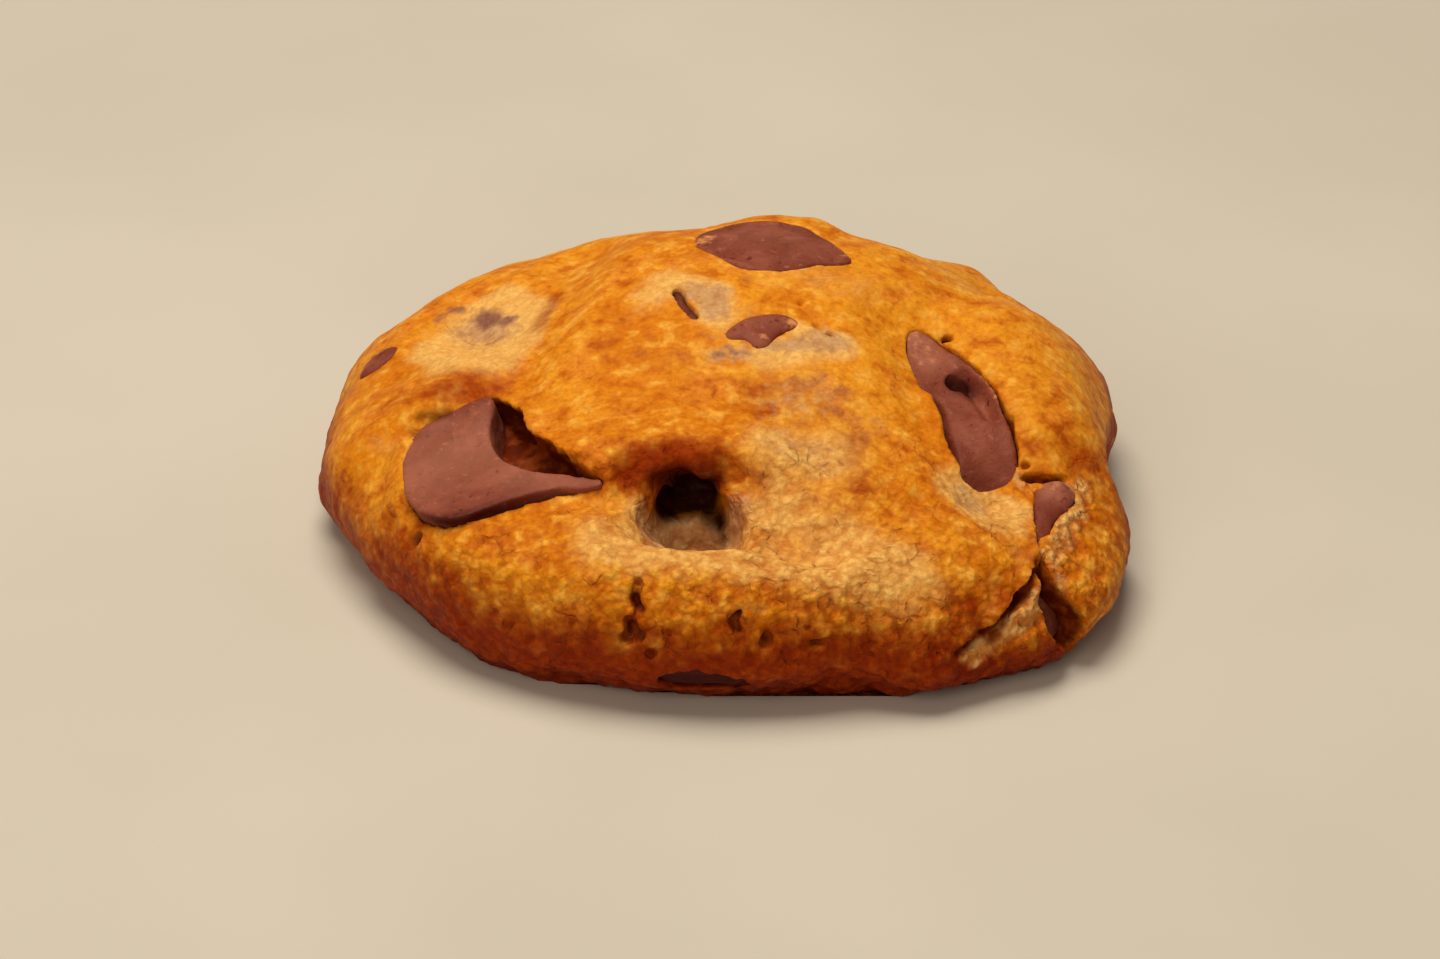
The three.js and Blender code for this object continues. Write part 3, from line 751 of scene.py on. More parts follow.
# %% [markdown]
# Steam left small pits, most of them where the crust is thin: in the face of the roll, and beside the
# chunks. No two are alike, so each has its own size.

# %% Cut the pits
# where a pit is, its size across, along and through the skin, and its depth
PITS = [
    ((-26.9, -22.4, 10.4), (2.2, 1.3, 2), 1), ((-27.4, -10.2, 13.9), (2, 0.9, 1.4), 0.6),
    ((-8.2, -34.3, 7.6), (1, 1.3, 1.6), 0.8), ((-5.9, -34.6, 6.4), (0.9, 0.9, 1.3), 0.6),
    ((2.3, -35.4, 6.7), (1, 1.1, 1.6), 0.7), ((3.8, -35, 8.1), (1, 1.9, 2), 1.2),
    ((5.2, -35, 6.9), (0.9, 1, 1.2), 0.55), ((10.8, -33.4, 9.2), (0.8, 1.2, 1.4), 0.6),
    ((7.2, -34.6, 8.6), (0.7, 1.4, 1.4), 0.7), ((-4.6, -34.6, 8.4), (0.8, 1, 1.2), 0.6),
    ((-12.6, -33.6, 7), (0.7, 0.7, 1), 0.5), ((13.4, -33.6, 7), (0.7, 0.9, 1), 0.4),
    ((-6, 0.5, 21.5), (1.1, 1.1, 1.4), 0.45), ((4.2, 1, 21.8), (1.2, 0.6, 1.1), 0.45),
    ((6.9, 0.6, 21.4), (1, 0.8, 1.4), 0.8), ((0.4, -22.4, 13.4), (0.8, 1, 1.2), 0.6),
    ((1.6, -22.6, 13), (0.7, 0.7, 1), 0.5), ((25.4, -10.6, 15.2), (1.1, 2, 2.2), 1.4),
    ((20.2, 0.4, 18), (1.4, 1.1, 1.8), 1.1), ((22, -4.2, 16.8), (1, 1.6, 1.8), 1),
    ((26.6, -14.6, 13.2), (1, 1, 1.6), 1), ((-13.6, -23.6, 14.4), (0.6, 0.9, 1), 0.45),
    ((14.9, -2, 19.4), (0.6, 1, 1), 0.4),
]
for at, size, depth in PITS:
    tool = pit_tool("pit", skin_tree, at, size, depth)
    roughen(tool, amount=0.4, pitch=0.9)
    cut_out(dough, tool)
say(dough)

# %% [markdown]
# The long chunk has a deep hole in it, where an air bubble burst. It is a pit like the others.

# %% Open the bubble in the long chunk
long_chunk = chocolate["chunk_right"]
bubble = pit_tool("bubble", skin_tree, at=(21, -4.9, 16.6), size=(2.2, 2.1, 5), depth=3.6)
roughen(bubble, amount=0.2, pitch=0.9)
cut_out(long_chunk, bubble)
add_and_apply(long_chunk, "REMESH", mode="VOXEL", voxel_size=GRAIN_OF_CHOCOLATE * MM)
add_and_apply(long_chunk, "SMOOTH", factor=0.5, iterations=3)
say(long_chunk)

# %% [markdown]
# ## Even faces for the crust
#
# The cuts left long thin faces, which no fine relief can be laid on. A voxel remesh covers the whole
# surface with even faces about a quarter of a millimetre wide; it also closes what is too narrow to see.

# %% Remesh the dough
FACE_SIZE = 0.27  # in mm
add_and_apply(dough, "REMESH", mode="VOXEL", voxel_size=FACE_SIZE * MM)
add_and_apply(dough, "SMOOTH", factor=0.5, iterations=2)
say(dough)

# %% [markdown]
# ## Lips
#
# Where the dough ran against a chunk or over a crack, its edge bulges over it. Now that the openings
# have even faces, their edges can be pressed over, and only along the skin, so that the far side of the
# opening stays where it is.

# %% Press the lips over
press(dough, [
    ("lip on the long chunk", [(18, -8.4, 16.6), (18.7, -11, 15.8), (18.9, -13.4, 15.1), (20.2, -16.2, 14.2)],
        1.7, (0.65, 0, 0.3)),
    ("lip on the corner", [(26.9, -22.6, 11.1), (27, -25, 10.4), (26.6, -27, 9.6), (25.6, -29.2, 8.4),
        (23.6, -31, 7.2)], 1.8, (0.5, -0.3, 0.35)),
    ("lip on the side chunk", [(27.4, -17.4, 12), (27.2, -19.6, 11.6), (27.5, -21.8, 11)],
        1.2, (0.4, 0, 0.1)),
    ("torn step", [(26.6, -29.9, 7.2), (24.8, -31.2, 6.4), (22.6, -32.6, 5.6)], 1.6, (0.1, 0.1, -0.7)),
    ("back edge of the left chunk", [(-26.4, -9.4, 14.4), (-24, -8.6, 15), (-22.4, -7.8, 15.6)],
        1.4, (0.05, -0.2, 0)),
    ("edge of the cavity", [(-19.6, -7.4, 16.4), (-17.6, -9.4, 16.8), (-16.4, -13.2, 16.9), (-14.2, -16, 17),
        (-11.8, -18.6, 16.8)], 1.3, (-0.4, -0.5, 0.1)),
], along_skin=True)

# %% [markdown]
# ## Finish: what is set up for every material
#
# Each material is a small graph of nodes. Its patterns are laid out in millimetres, on the piece's own
# coordinates, so they have a real size and stay put when the piece moves. The graph is built by one
# class, so that a recipe below reads as a list of colours and not as a list of links.

# %% Helpers for materials
def rgb(red, green, blue):
    """A colour given as the 0 to 255 of a screen, as the shader wants it."""
    linear = [((c / 255 + 0.055) / 1.055) ** 2.4 if c > 10 else c / 255 / 12.92 for c in (red, green, blue)]
    return (*linear, 1)


class Finish:
    """A material under construction: each step adds a node, and gives back its output."""

    def __init__(self, name):
        self.material = bpy.data.materials.new(name)
        self.material.use_nodes = True
        self.tree = self.material.node_tree
        self.tree.nodes.clear()
        self.shader = self.node("BsdfPrincipled")
        self.node("OutputMaterial", {"Surface": self.shader.outputs["BSDF"]})
        own = self.node("TexCoord").outputs["Object"]
        self.where = self.node("Mapping", {"Vector": own, "Scale": (1 / MM,) * 3}).outputs["Vector"]

    def put(self, value, socket):
        """Gives an input its value, or links it to the output of another node."""
        if isinstance(value, bpy.types.NodeSocket):
            self.tree.links.new(value, socket)
        else:
            socket.default_value = value

    def node(self, kind, inputs=(), **settings):
        """Adds a node of this kind, with its inputs and settings."""
        made = self.tree.nodes.new("ShaderNode" + kind)
        for name, value in settings.items():
            setattr(made, name, value)
        for name, value in dict(inputs).items():
            self.put(value, made.inputs[name])
        return made

    def surface(self, inputs):
        """Sets inputs of the shader itself."""
        for name, value in inputs.items():
            self.put(value, self.shader.inputs[name])

    def noise(self, pitch, detail=2.0, roughness=0.5, distortion=0.0):
        """A soft random pattern, with this many mm from one blotch to the next."""
        inputs = {"Vector": self.where, "Scale": 1 / pitch, "Detail": detail, "Roughness": roughness}
        return self.node("TexNoise", inputs | {"Distortion": distortion}).outputs["Fac"]

    def ramp(self, value, low, high):
        """Spreads a value between low and high over 0 to 1, smoothly."""
        inputs = {"Value": value, "From Min": low, "From Max": high}
        return self.node("MapRange", inputs, interpolation_type="SMOOTHSTEP").outputs["Result"]

    def math(self, operation, a, b):
        return self.node("Math", {0: a, 1: b}, operation=operation).outputs["Value"]

    def times(self, a, b):
        return self.math("MULTIPLY", a, b)

    def mark(self, name):
        """A number that the piece carries on its points."""
        return self.node("Attribute", attribute_name=name).outputs["Fac"]

    def blend(self, amount, first, second, way="MIX"):
        """Mixes the second colour into the first, or multiplies them."""
        inputs = {0: amount, 6: first, 7: second}
        for socket in (6, 7):
            if isinstance(inputs[socket], tuple):
                inputs[socket] = rgb(*inputs[socket])
        return self.node("Mix", inputs, data_type="RGBA", blend_type=way).outputs[2]

    def bump(self, height, strength, deep, **under):
        """Relief that only catches the light, deep in mm, on top of the normal under it."""
        inputs = {"Height": height, "Strength": strength, "Distance": deep * MM}
        return self.node("Bump", inputs | under).outputs["Normal"]

# %% [markdown]
# ## Relief of the crust
#
# A baked crust is uneven at every size: soft lumps a few millimetres wide, wrinkles where it dried, and
# the fine crackle of sugar. The larger ones are real relief, made with Displace modifiers, and the
# finest is left to the material, where it costs no faces.

# %% Helpers for the relief and for the marks
def relief(piece, kind, pitch, height, mid=0.5, group="", **settings):
    """Raises a piece by a pattern of this pitch and height in mm, or only a group of its points."""
    pattern = bpy.data.textures.new("relief", kind)
    pattern.noise_scale = pitch * MM
    for name, value in settings.items():
        setattr(pattern, name, value)
    add_and_apply(
        piece, "DISPLACE", texture=pattern, texture_coords="LOCAL", strength=height * MM, mid_level=mid,
        vertex_group=group)


def weigh(piece, name, amounts):
    """Keeps an amount for every point as a vertex group, which limits a modifier."""
    group = piece.vertex_groups.new(name=name)
    for step in range(1, 11):
        held = np.flatnonzero(np.round(np.clip(amounts, 0, 1) * 10) == step)
        group.add([int(i) for i in held], step / 10, "REPLACE")


def normals_of(piece):
    """The way out of the skin at every point."""
    flat = np.empty(len(piece.data.vertices) * 3)
    piece.data.vertices.foreach_get("normal", flat)
    return flat.reshape(-1, 3)


def put_mark(piece, name, amount):
    """Keeps an amount from 0 to 1 on every point, for the material to read."""
    kept = piece.data.attributes.new(name, "FLOAT", "POINT")
    kept.data.foreach_set("value", np.clip(amount, 0, 1).astype(np.float32))

# %% [markdown]
# The walls of the cracks, the pits and the sockets are crumb and not crust. How deep a point lies below
# the skin that the dough had when it was whole says which of the two it is. The material paints these
# walls a dark red brown, as painted shade.

# %% Find what lies inside
INSIDE_FROM, INSIDE_FULLY = 0.3, 0.85  # how deep below the whole skin a point is inside, in mm
plain_points = corners_of(dough)
depths = np.empty(len(plain_points))
for i, corner in enumerate(dough.data.vertices):
    hit, normal, _, gap = skin_tree.find_nearest(corner.co)
    depths[i] = gap / MM * (1 if (hit - corner.co).dot(normal) > 0 else -1)
inside = np.clip((depths - INSIDE_FROM) / (INSIDE_FULLY - INSIDE_FROM), 0, 1)
put_mark(dough, "inside", inside)
print("points inside cracks and sockets:", int((inside > 0.5).sum()), "of", len(inside))

# %% [markdown]
# A stain is to the finish what a press is to the form: a row of points, a reach and an amount. The
# first stains say where the crust is grainy. The crumb tore along the cracked corner, so it is grainy
# there, and the front and the low sides are grainier than the crown.

# %% The stain, and how grainy the crust is
def stain(points, row, reach):
    """How strongly each point is stained: 1 along the row, fading to 0 at the reach."""
    row = np.array(row, float)
    nearest = np.full(len(points), np.inf)
    for start, end in zip(row, row[1:] if len(row) > 1 else row):
        way = end - start
        along = np.clip((points - start) @ way / max(way @ way, 1e-9), 0, 1)
        nearest = np.minimum(nearest, np.linalg.norm(points - start - along[:, None] * way, axis=1))
    t = np.clip(1 - nearest / reach, 0, 1)
    return t * t * (3 - 2 * t)


def all_stains(points, stains):
    """The sum of some stains at every point: each is a row, a reach in mm and an amount."""
    return sum(amount * stain(points, row, reach) for row, reach, amount in stains)


def fade(values, none, full):
    """0 up to none, 1 from full on, and evenly between them; full may be the smaller one."""
    return np.clip((values - none) / (full - none), 0, 1)


# where the torn crumb shows
CRUMB = [
    ([(31.8, -15.6, 11.2), (31, -18.6, 10.7), (29.8, -21.6, 10.2), (28.8, -24.4, 9.8)], 2, 1.1),
    ([(27.4, -28.6, 7.8), (26, -30.2, 7), (24, -31.8, 6), (21.4, -33.4, 5)], 2, 1.1),
    ([(26.6, -16.6, 12.4), (25.6, -15.4, 12.9)], 1.4, 0.6), ([(27.4, -24.2, 10.6)], 1.4, 0.4),
]
# where else the crust is grainy
COARSE = [
    ([(28, -29.4, 7), (28.4, -30, 3), (24, -32, 3.6), (19, -34, 4)], 4.6, 0.6),
    ([(-6, -32, 11), (2, -33, 11), (10, -32.6, 10.6)], 4.6, 0.3),
]


def how_grainy(points):
    """The crust is grainy low on the sides and at the front, and smoother on the crown and behind."""
    low_side = fade(points[:, 2], none=11, full=5)
    front = fade(points[:, 1], none=-10, full=-26)
    torn = np.clip(all_stains(points, CRUMB), 0, 1) + all_stains(points, COARSE)
    return np.clip(0.08 + 0.4 * front + 0.3 * low_side + torn, 0, 1)

# %% [markdown]
# The relief goes on from coarse to fine. How far it raised or sank each point is kept too, because
# the material paints shade into the hollows. The film of dough over the chunk at the back left gets the
# same relief as the crust, and the other chunks get soft dents only.

# %% Lay the relief on
HOLLOW = 0.5  # height between fully hollow and fully raised, in mm


def crust_relief(piece, grainy):
    """Lays the relief on a piece, coarser where it is grainy, and marks how hollow each point became."""
    weigh(piece, "grainy", grainy)
    put_mark(piece, "pebbles", grainy)
    relief(piece, "CLOUDS", pitch=6.5, height=0.5, noise_depth=1)
    before, outwards = corners_of(piece), normals_of(piece)
    relief(piece, "CLOUDS", pitch=2.4, height=0.24, noise_depth=1)
    relief(piece, "VORONOI", pitch=1.3, height=-0.5, mid=0.4, group="grainy")
    relief(piece, "CLOUDS", pitch=0.8, height=0.16, noise_depth=1, group="grainy")
    raised = ((corners_of(piece) - before) * outwards).sum(axis=1)
    put_mark(piece, "hollow", 0.5 - raised / HOLLOW)
    print(piece.name, "was raised by", np.round(np.percentile(raised, (2, 25, 50, 75, 98)), 2), "mm")


film = chocolate["chunk_left_back"]
crust_relief(dough, how_grainy(plain_points) * (1 - inside))
crust_relief(film, how_grainy(corners_of(film)))
for piece in chocolate.values():
    if piece is not film:
        relief(piece, "CLOUDS", pitch=1.7, height=0.18, noise_depth=1)

# %% [markdown]
# Flat places have more faces than they need, so Decimate takes the least useful ones away. The relief
# has also made the underside uneven: a second trim takes off a thin slice, and the dough rests again.

# %% Drop spare faces and flatten the underside again
ENOUGH_FACES = 190000  # triangles
SLICE = 0.25  # taken off below, in mm
faces_now = sum(len(face.vertices) - 2 for face in dough.data.polygons)
add_and_apply(dough, "DECIMATE", decimate_type="COLLAPSE", ratio=ENOUGH_FACES / faces_now)
say(dough)
trim_underside(dough, SLICE)
shift(dough, (0, 0, -corners_of(dough)[:, 2].min()))
say(dough)

# %% [markdown]
# ## Marks on the crust
#
# Browning follows the shape, and the rest of the colour is dabbed on, as with a brush. Painted by hand
# it could not be repeated, so each dab is a stain again. These are the light ones: pale dough that rose
# late and baked less, with painted light on the crest of the front roll, and ashen dough, thin over
# chocolate.

# %% Where the crust is pale and ashen
PALE_AND_PAINTED_LIGHT = [
    ([(-24, -1.5, 15.2), (-20.5, -1.4, 15.8), (-18.4, 2, 16.4), (-17.6, 6, 17)], 4.6, 1.2),
    ([(-25.4, 4, 14.6), (-22, 2.4, 15), (-19.6, 8, 16)], 5.4, 1.3),
    ([(-24.6, 9, 14.8), (-20, 11, 16)], 3.6, 0.7), ([(21, -19, 13), (24, -21, 12.2)], 4.6, 1.3),
    ([(25.8, -19.4, 12)], 2.4, 0.6), ([(3.9, -7.4, 20.2), (7.5, -6, 20.3), (11, -5.4, 19.9)], 2.6, 1.2),
    ([(6, -2.8, 21), (10, -4.6, 20.3)], 2, 0.9),
    ([(-3, 2.4, 22), (-0.8, 1.8, 22), (-0.8, -1.6, 21.5)], 2.8, 1.2),
    ([(-6.6, 1.6, 21.4), (-5, 4, 21.8)], 4, 0.7), ([(0.4, -3.6, 21.2), (2, -1, 21.6)], 3, 0.4),
    ([(-9, -23, 13.6), (-12, -24.2, 14)], 5, 0.3), ([(2.2, -22.6, 13.4), (3.4, -24.4, 12.6)], 3.6, 0.2),
    ([(12, -31.6, 12), (17, -30.6, 11)], 5, 0.3), ([(19, 14, 17.4), (26, 8, 16)], 6, 0.35),
    ([(24, -22, 12.2), (26, -26, 10.4)], 4, 0.3),
    # painted light on the crest of the front roll
    ([(-10, -28.8, 13.8), (0, -30, 13.6), (8, -30.4, 13), (14, -29.8, 12.6)], 5.2, 1),
    ([(4.6, -19, 17.4), (9.4, -19, 16.6)], 6, 0.85), ([(5.6, -24.6, 13.6), (10, -26, 13)], 5, 0.75),
    ([(-22, 20, 14), (-12, 23.5, 16), (-2, 24, 17)], 3.8, 0.8),
    ([(-31, -9.4, 12), (-29, -11, 13)], 3, 0.35), ([(8, -10, 19.4), (13, -14, 17.6)], 5, 0.35),
    # the second stain on the next line is painted light on the right of the roll's crest
    ([(4, 6, 21.8), (12, 4, 20.8)], 6, 0.4), ([(10, -33.3, 10.6), (16.8, -32.1, 10.3)], 6.5, 0.22),
    ([(-6, -6, 20), (2, -9, 20)], 9, 0.2), ([(-7.8, -22.6, 12.5), (-6.9, -28.4, 13.6)], 2.4, 0.7),
    ([(2.4, -23.2, 12.9), (2.2, -25.2, 11.3)], 2.4, 0.7),
]
ASHEN = [
    ([(-4.8, -21.4, 10.2), (-2.8, -21, 9.8), (-0.9, -21.4, 10)], 3.4, 1.3),
    ([(-6.2, -23.6, 10.6), (0, -23, 9.6)], 3.4, 0.9),
    ([(-7.2, -22.2, 13.2), (-6.8, -23.2, 12.2), (-6.4, -24.6, 10.8)], 2.2, 0.75),
    ([(0.8, -22, 12.4), (1.4, -23.4, 10.8), (1.2, -24.8, 9.6)], 2, 0.9),
    ([(-0.6, -7.2, 20.4), (1.6, -6.8, 20.4)], 2, 1), ([(-22.4, 7.2, 15), (-20.6, 5.6, 15.7)], 4.4, 1),
    ([(-2.4, 1.8, 21.9), (-0.6, 1.4, 22), (-0.8, -1.4, 21.5)], 2.8, 1.1),
    ([(4.4, -5.8, 20.6), (9.4, -5.2, 20.2)], 2.2, 1), ([(8.6, -3.4, 20.6), (11, -4.6, 20)], 1.8, 0.8),
    ([(1.8, -22.8, 13.2)], 3, 0.85), ([(5.4, -18.6, 17.6), (8.4, -18.8, 16.8)], 3.4, 0.6),
    ([(21.6, -19.8, 12.8)], 3.6, 0.9), ([(-5.6, 0.9, 21.5)], 1.3, 0.8),
    ([(29.4, -26.4, 8.6), (28.9, -28.4, 7)], 1.6, 0.9), ([(5.5, -12.8, 18.6), (8.2, -12.3, 18.5)], 6, 0.5),
]
print(len(PALE_AND_PAINTED_LIGHT), "pale stains and", len(ASHEN), "ashen ones")

# %% [markdown]
# Folds that stood up into the hot air browned more. The same stains also paint shade: they darken the
# brow over the hole more than browning would. An amount below zero takes some browning away again,
# where the shape alone would give too much.

# %% Where the crust is browned and given painted shade, more or less
BROWNING_AND_SHADE = [
    ([(-6.8, -20.8, 15.8), (-3, -20.4, 16.2), (-0.8, -20.8, 16)], 3.8, 0.82),
    ([(3.6, -23.4, 13), (2.8, -21.6, 15)], 2.8, 0.3), ([(-13, -19.8, 15.8), (-9, -21, 15.2)], 2.8, 0.4),
    ([(2.4, -21.2, 15.8)], 2.4, 0.2), ([(-9, -5, 20.2), (2, -10, 20)], 8, 0.17),
    ([(-30, -6, 13.4), (-25, -5, 15.4)], 4.5, 0.3), ([(27, -6, 15), (30.6, -8, 13)], 5, 0.35),
    ([(-34, -8, 6), (-32, -12, 7)], 5, 0.3), ([(34.4, -20, 4), (31.6, -26, 3)], 6, -0.85),
    ([(28.4, -29, 6), (25, -31.5, 5)], 4, -0.6),
    ([(-8, -19.4, 17.4), (-4, -19.2, 17.8), (0, -19.4, 17.7)], 2.6, 0.35),
    ([(-29, -19, 9), (-22, -27, 9.4)], 5, 0.3), ([(-20.4, -5.6, 16.4), (-24, -7, 16)], 3.6, 0.6),
    ([(19, -30.4, 10.6), (26, -27, 9.4)], 5, 0.3), ([(34, -6, 9), (33, -12, 10)], 5.5, 0.5),
    ([(34, -21, 5), (30, -28, 4)], 5, 0.3), ([(36, 2, 7), (33, 11, 8)], 6, 0.4),
    ([(-35, 4, 7), (-35, -4, 5)], 6, 0.4), ([(12, -16.7, 16.8), (11.6, -23.4, 14.6)], 3.4, 0.4),
    ([(-15.4, 8, 18), (-16.4, 3, 17.6)], 2.6, 0.5),
    ([(10.8, -33.2, 10.5), (16.8, -32.1, 10.3)], 4.5, -0.35),
    ([(31.8, -26.4, 6.4), (33.2, -23, 7.3)], 6, -0.6), ([(28, -13.4, 13.8), (30.3, -12.8, 13.5)], 4.5, 0.4),
    ([(4.2, -12.9, 18.6), (9.5, -12.4, 18.3)], 6, 0.4),
    ([(-27.8, -6.6, 15.1), (-25.1, -6.9, 16.1)], 4, 0.1),
    ([(-32.8, -12.9, 8.5), (-30.8, -16.1, 9.1)], 5, 0.05),
    ([(22.5, -28.8, 10.8), (24.7, -27.7, 10.6)], 4.5, -0.25),
]
print(len(BROWNING_AND_SHADE), "stains of browning")

# %% [markdown]
# Little light comes out of a deep hole, so the ground of the hole, of the cavity and under the crust's
# edge is dark. Where a chunk lies just under the skin, its colour shows through.

# %% Where it is dark and where chocolate shows through
# painted shade deep in the hole, the cavity and under the crust's edge
PAINTED_SHADE = [
    ([(-4.6, -18.6, 11.8), (-3.2, -16.8, 10.8), (-3.2, -15.2, 10)], 2.7, 1.1),
    ([(-6.8, -21.4, 13.2), (-6.2, -22.4, 11.4)], 2.2, 0.2), ([(1, -21.6, 12.8), (1.4, -22.6, 11)], 2, 0.16),
    ([(-5.4, -20.9, 15.2), (-2.8, -20.4, 15.4), (-0.8, -20.8, 15.2)], 2.2, 0.8),
    ([(-4.2, -19, 13.8), (-1.6, -19, 13.8)], 2.8, 1), ([(-3.8, -17.4, 12.2), (-1.2, -17.4, 12)], 3.2, 1),
    ([(-1.6, -19, 11.2), (-0.6, -20, 11)], 2.2, 0.8), ([(-5, -18.6, 12.4), (-5, -20.2, 11.6)], 2.2, 0.7),
    ([(-4.6, -21.6, 9.9), (-1, -21.8, 9.7)], 2.8, 0.38),
    ([(-0.4, -20.6, 11.6), (0.4, -21.6, 10)], 1.2, 0.6),
    ([(-26.8, -9, 14.7), (-25.5, -9.3, 15.1), (-24.3, -9.3, 15.5)], 1, 0.7),
    ([(-19.6, -8.4, 15), (-17.6, -10.6, 13), (-13.6, -16, 13.4), (-11, -19.6, 14)], 1.2, 0.25),
]
# where chocolate shows through thin dough
THROUGH = [
    ([(-23.6, 8.8, 14.8), (-21.1, 8.2, 15.5)], 3.2, 0.42),
    ([(5.5, -12.8, 18.6), (8.2, -12.3, 18.5)], 5, 0.16), ([(-21.8, 8.6, 15.3), (-20.2, 7, 15.8)], 2.4, 0.5),
    ([(-21.8, 5.6, 15.1)], 1.5, 0.6), ([(-19.4, 6.9, 16)], 1.4, 0.6),
    ([(-26.4, 9.8, 14.6), (-25.4, 11.2, 15), (-24.2, 10.8, 15.2)], 1.1, 0.9),
    ([(-25.9, 8.2, 14.4)], 0.8, 0.7), ([(-24.9, 7.2, 14.4), (-23.4, 7, 14.5)], 1, 0.4),
    ([(-0.6, -7.3, 20.3), (0.6, -6.3, 20.5)], 1.3, 1.1), ([(1.4, -6.9, 20.3), (2.4, -6.8, 20.3)], 0.9, 1),
    ([(4.4, -6.2, 20.4), (7, -4.4, 20.6)], 1.2, 0.6), ([(8.7, -4.9, 20.4)], 0.6, 0.9),
    ([(-2.2, 2.2, 22)], 0.8, 0.6), ([(-1, -0.8, 21.6)], 1, 0.5),
]

print(len(PAINTED_SHADE), "dark stains and", len(THROUGH), "where chocolate shows through")

# %% [markdown]
# The low sides that faced the hot tray are darker and the foot is scorched, and both carry painted
# shade that makes them darkest at the front. All amounts are worked out once for every point and kept
# on the piece, so the material only has to mix colours by them.

# %% Mark the crust
def mark_crust(piece):
    """Keeps on every point how browned, pale, ashen and torn the crust is, and its painted shade."""
    points, normals = corners_of(piece), normals_of(piece)
    low_side = fade(points[:, 2], none=11.5, full=4.5)
    front = fade(points[:, 1], none=-8, full=-28)
    overhang = np.clip(0.35 - normals[:, 2], 0, 1)
    foot = fade(points[:, 2], none=4.6, full=0)
    # browning of the low sides, with painted shade that makes the front darker
    browned_and_shaded = 0.06 + low_side * (0.5 + 0.5 * front) + 0.12 * overhang
    put_mark(piece, "browned_and_shaded", browned_and_shaded + all_stains(points, BROWNING_AND_SHADE))
    put_mark(piece, "scorched_and_shaded", (0.3 + 0.6 * front) * foot**1.2)
    for name, stains in dict(pale=PALE_AND_PAINTED_LIGHT, ashen=ASHEN, dark=PAINTED_SHADE, crumb=CRUMB, through=THROUGH).items():
        put_mark(piece, name, all_stains(points, stains))
    print("marked", piece.name, "on", len(points), "points")


mark_crust(dough)
mark_crust(film)

# %% [markdown]
# ## Finish of the crust
#
# Butter and sugar brown to a warm gold. One flat gold would look like plastic, so the colour drifts
# over centimetres, is mottled over millimetres, and is darker in the cracks of the sugar. Each colour
# below is laid over the ones before it, by a pattern, or by a mark that a pattern makes uneven. Last,
# painted shade darkens the hollows and the gaps between the grains. The crust is hardly glossy, and
# light goes a short way into it.

# %% Make the crust
KNOBS_PER_MM = 1.15
CRACKLE_PER_MM = 0.55
WOBBLE_PER_MM = 0.9


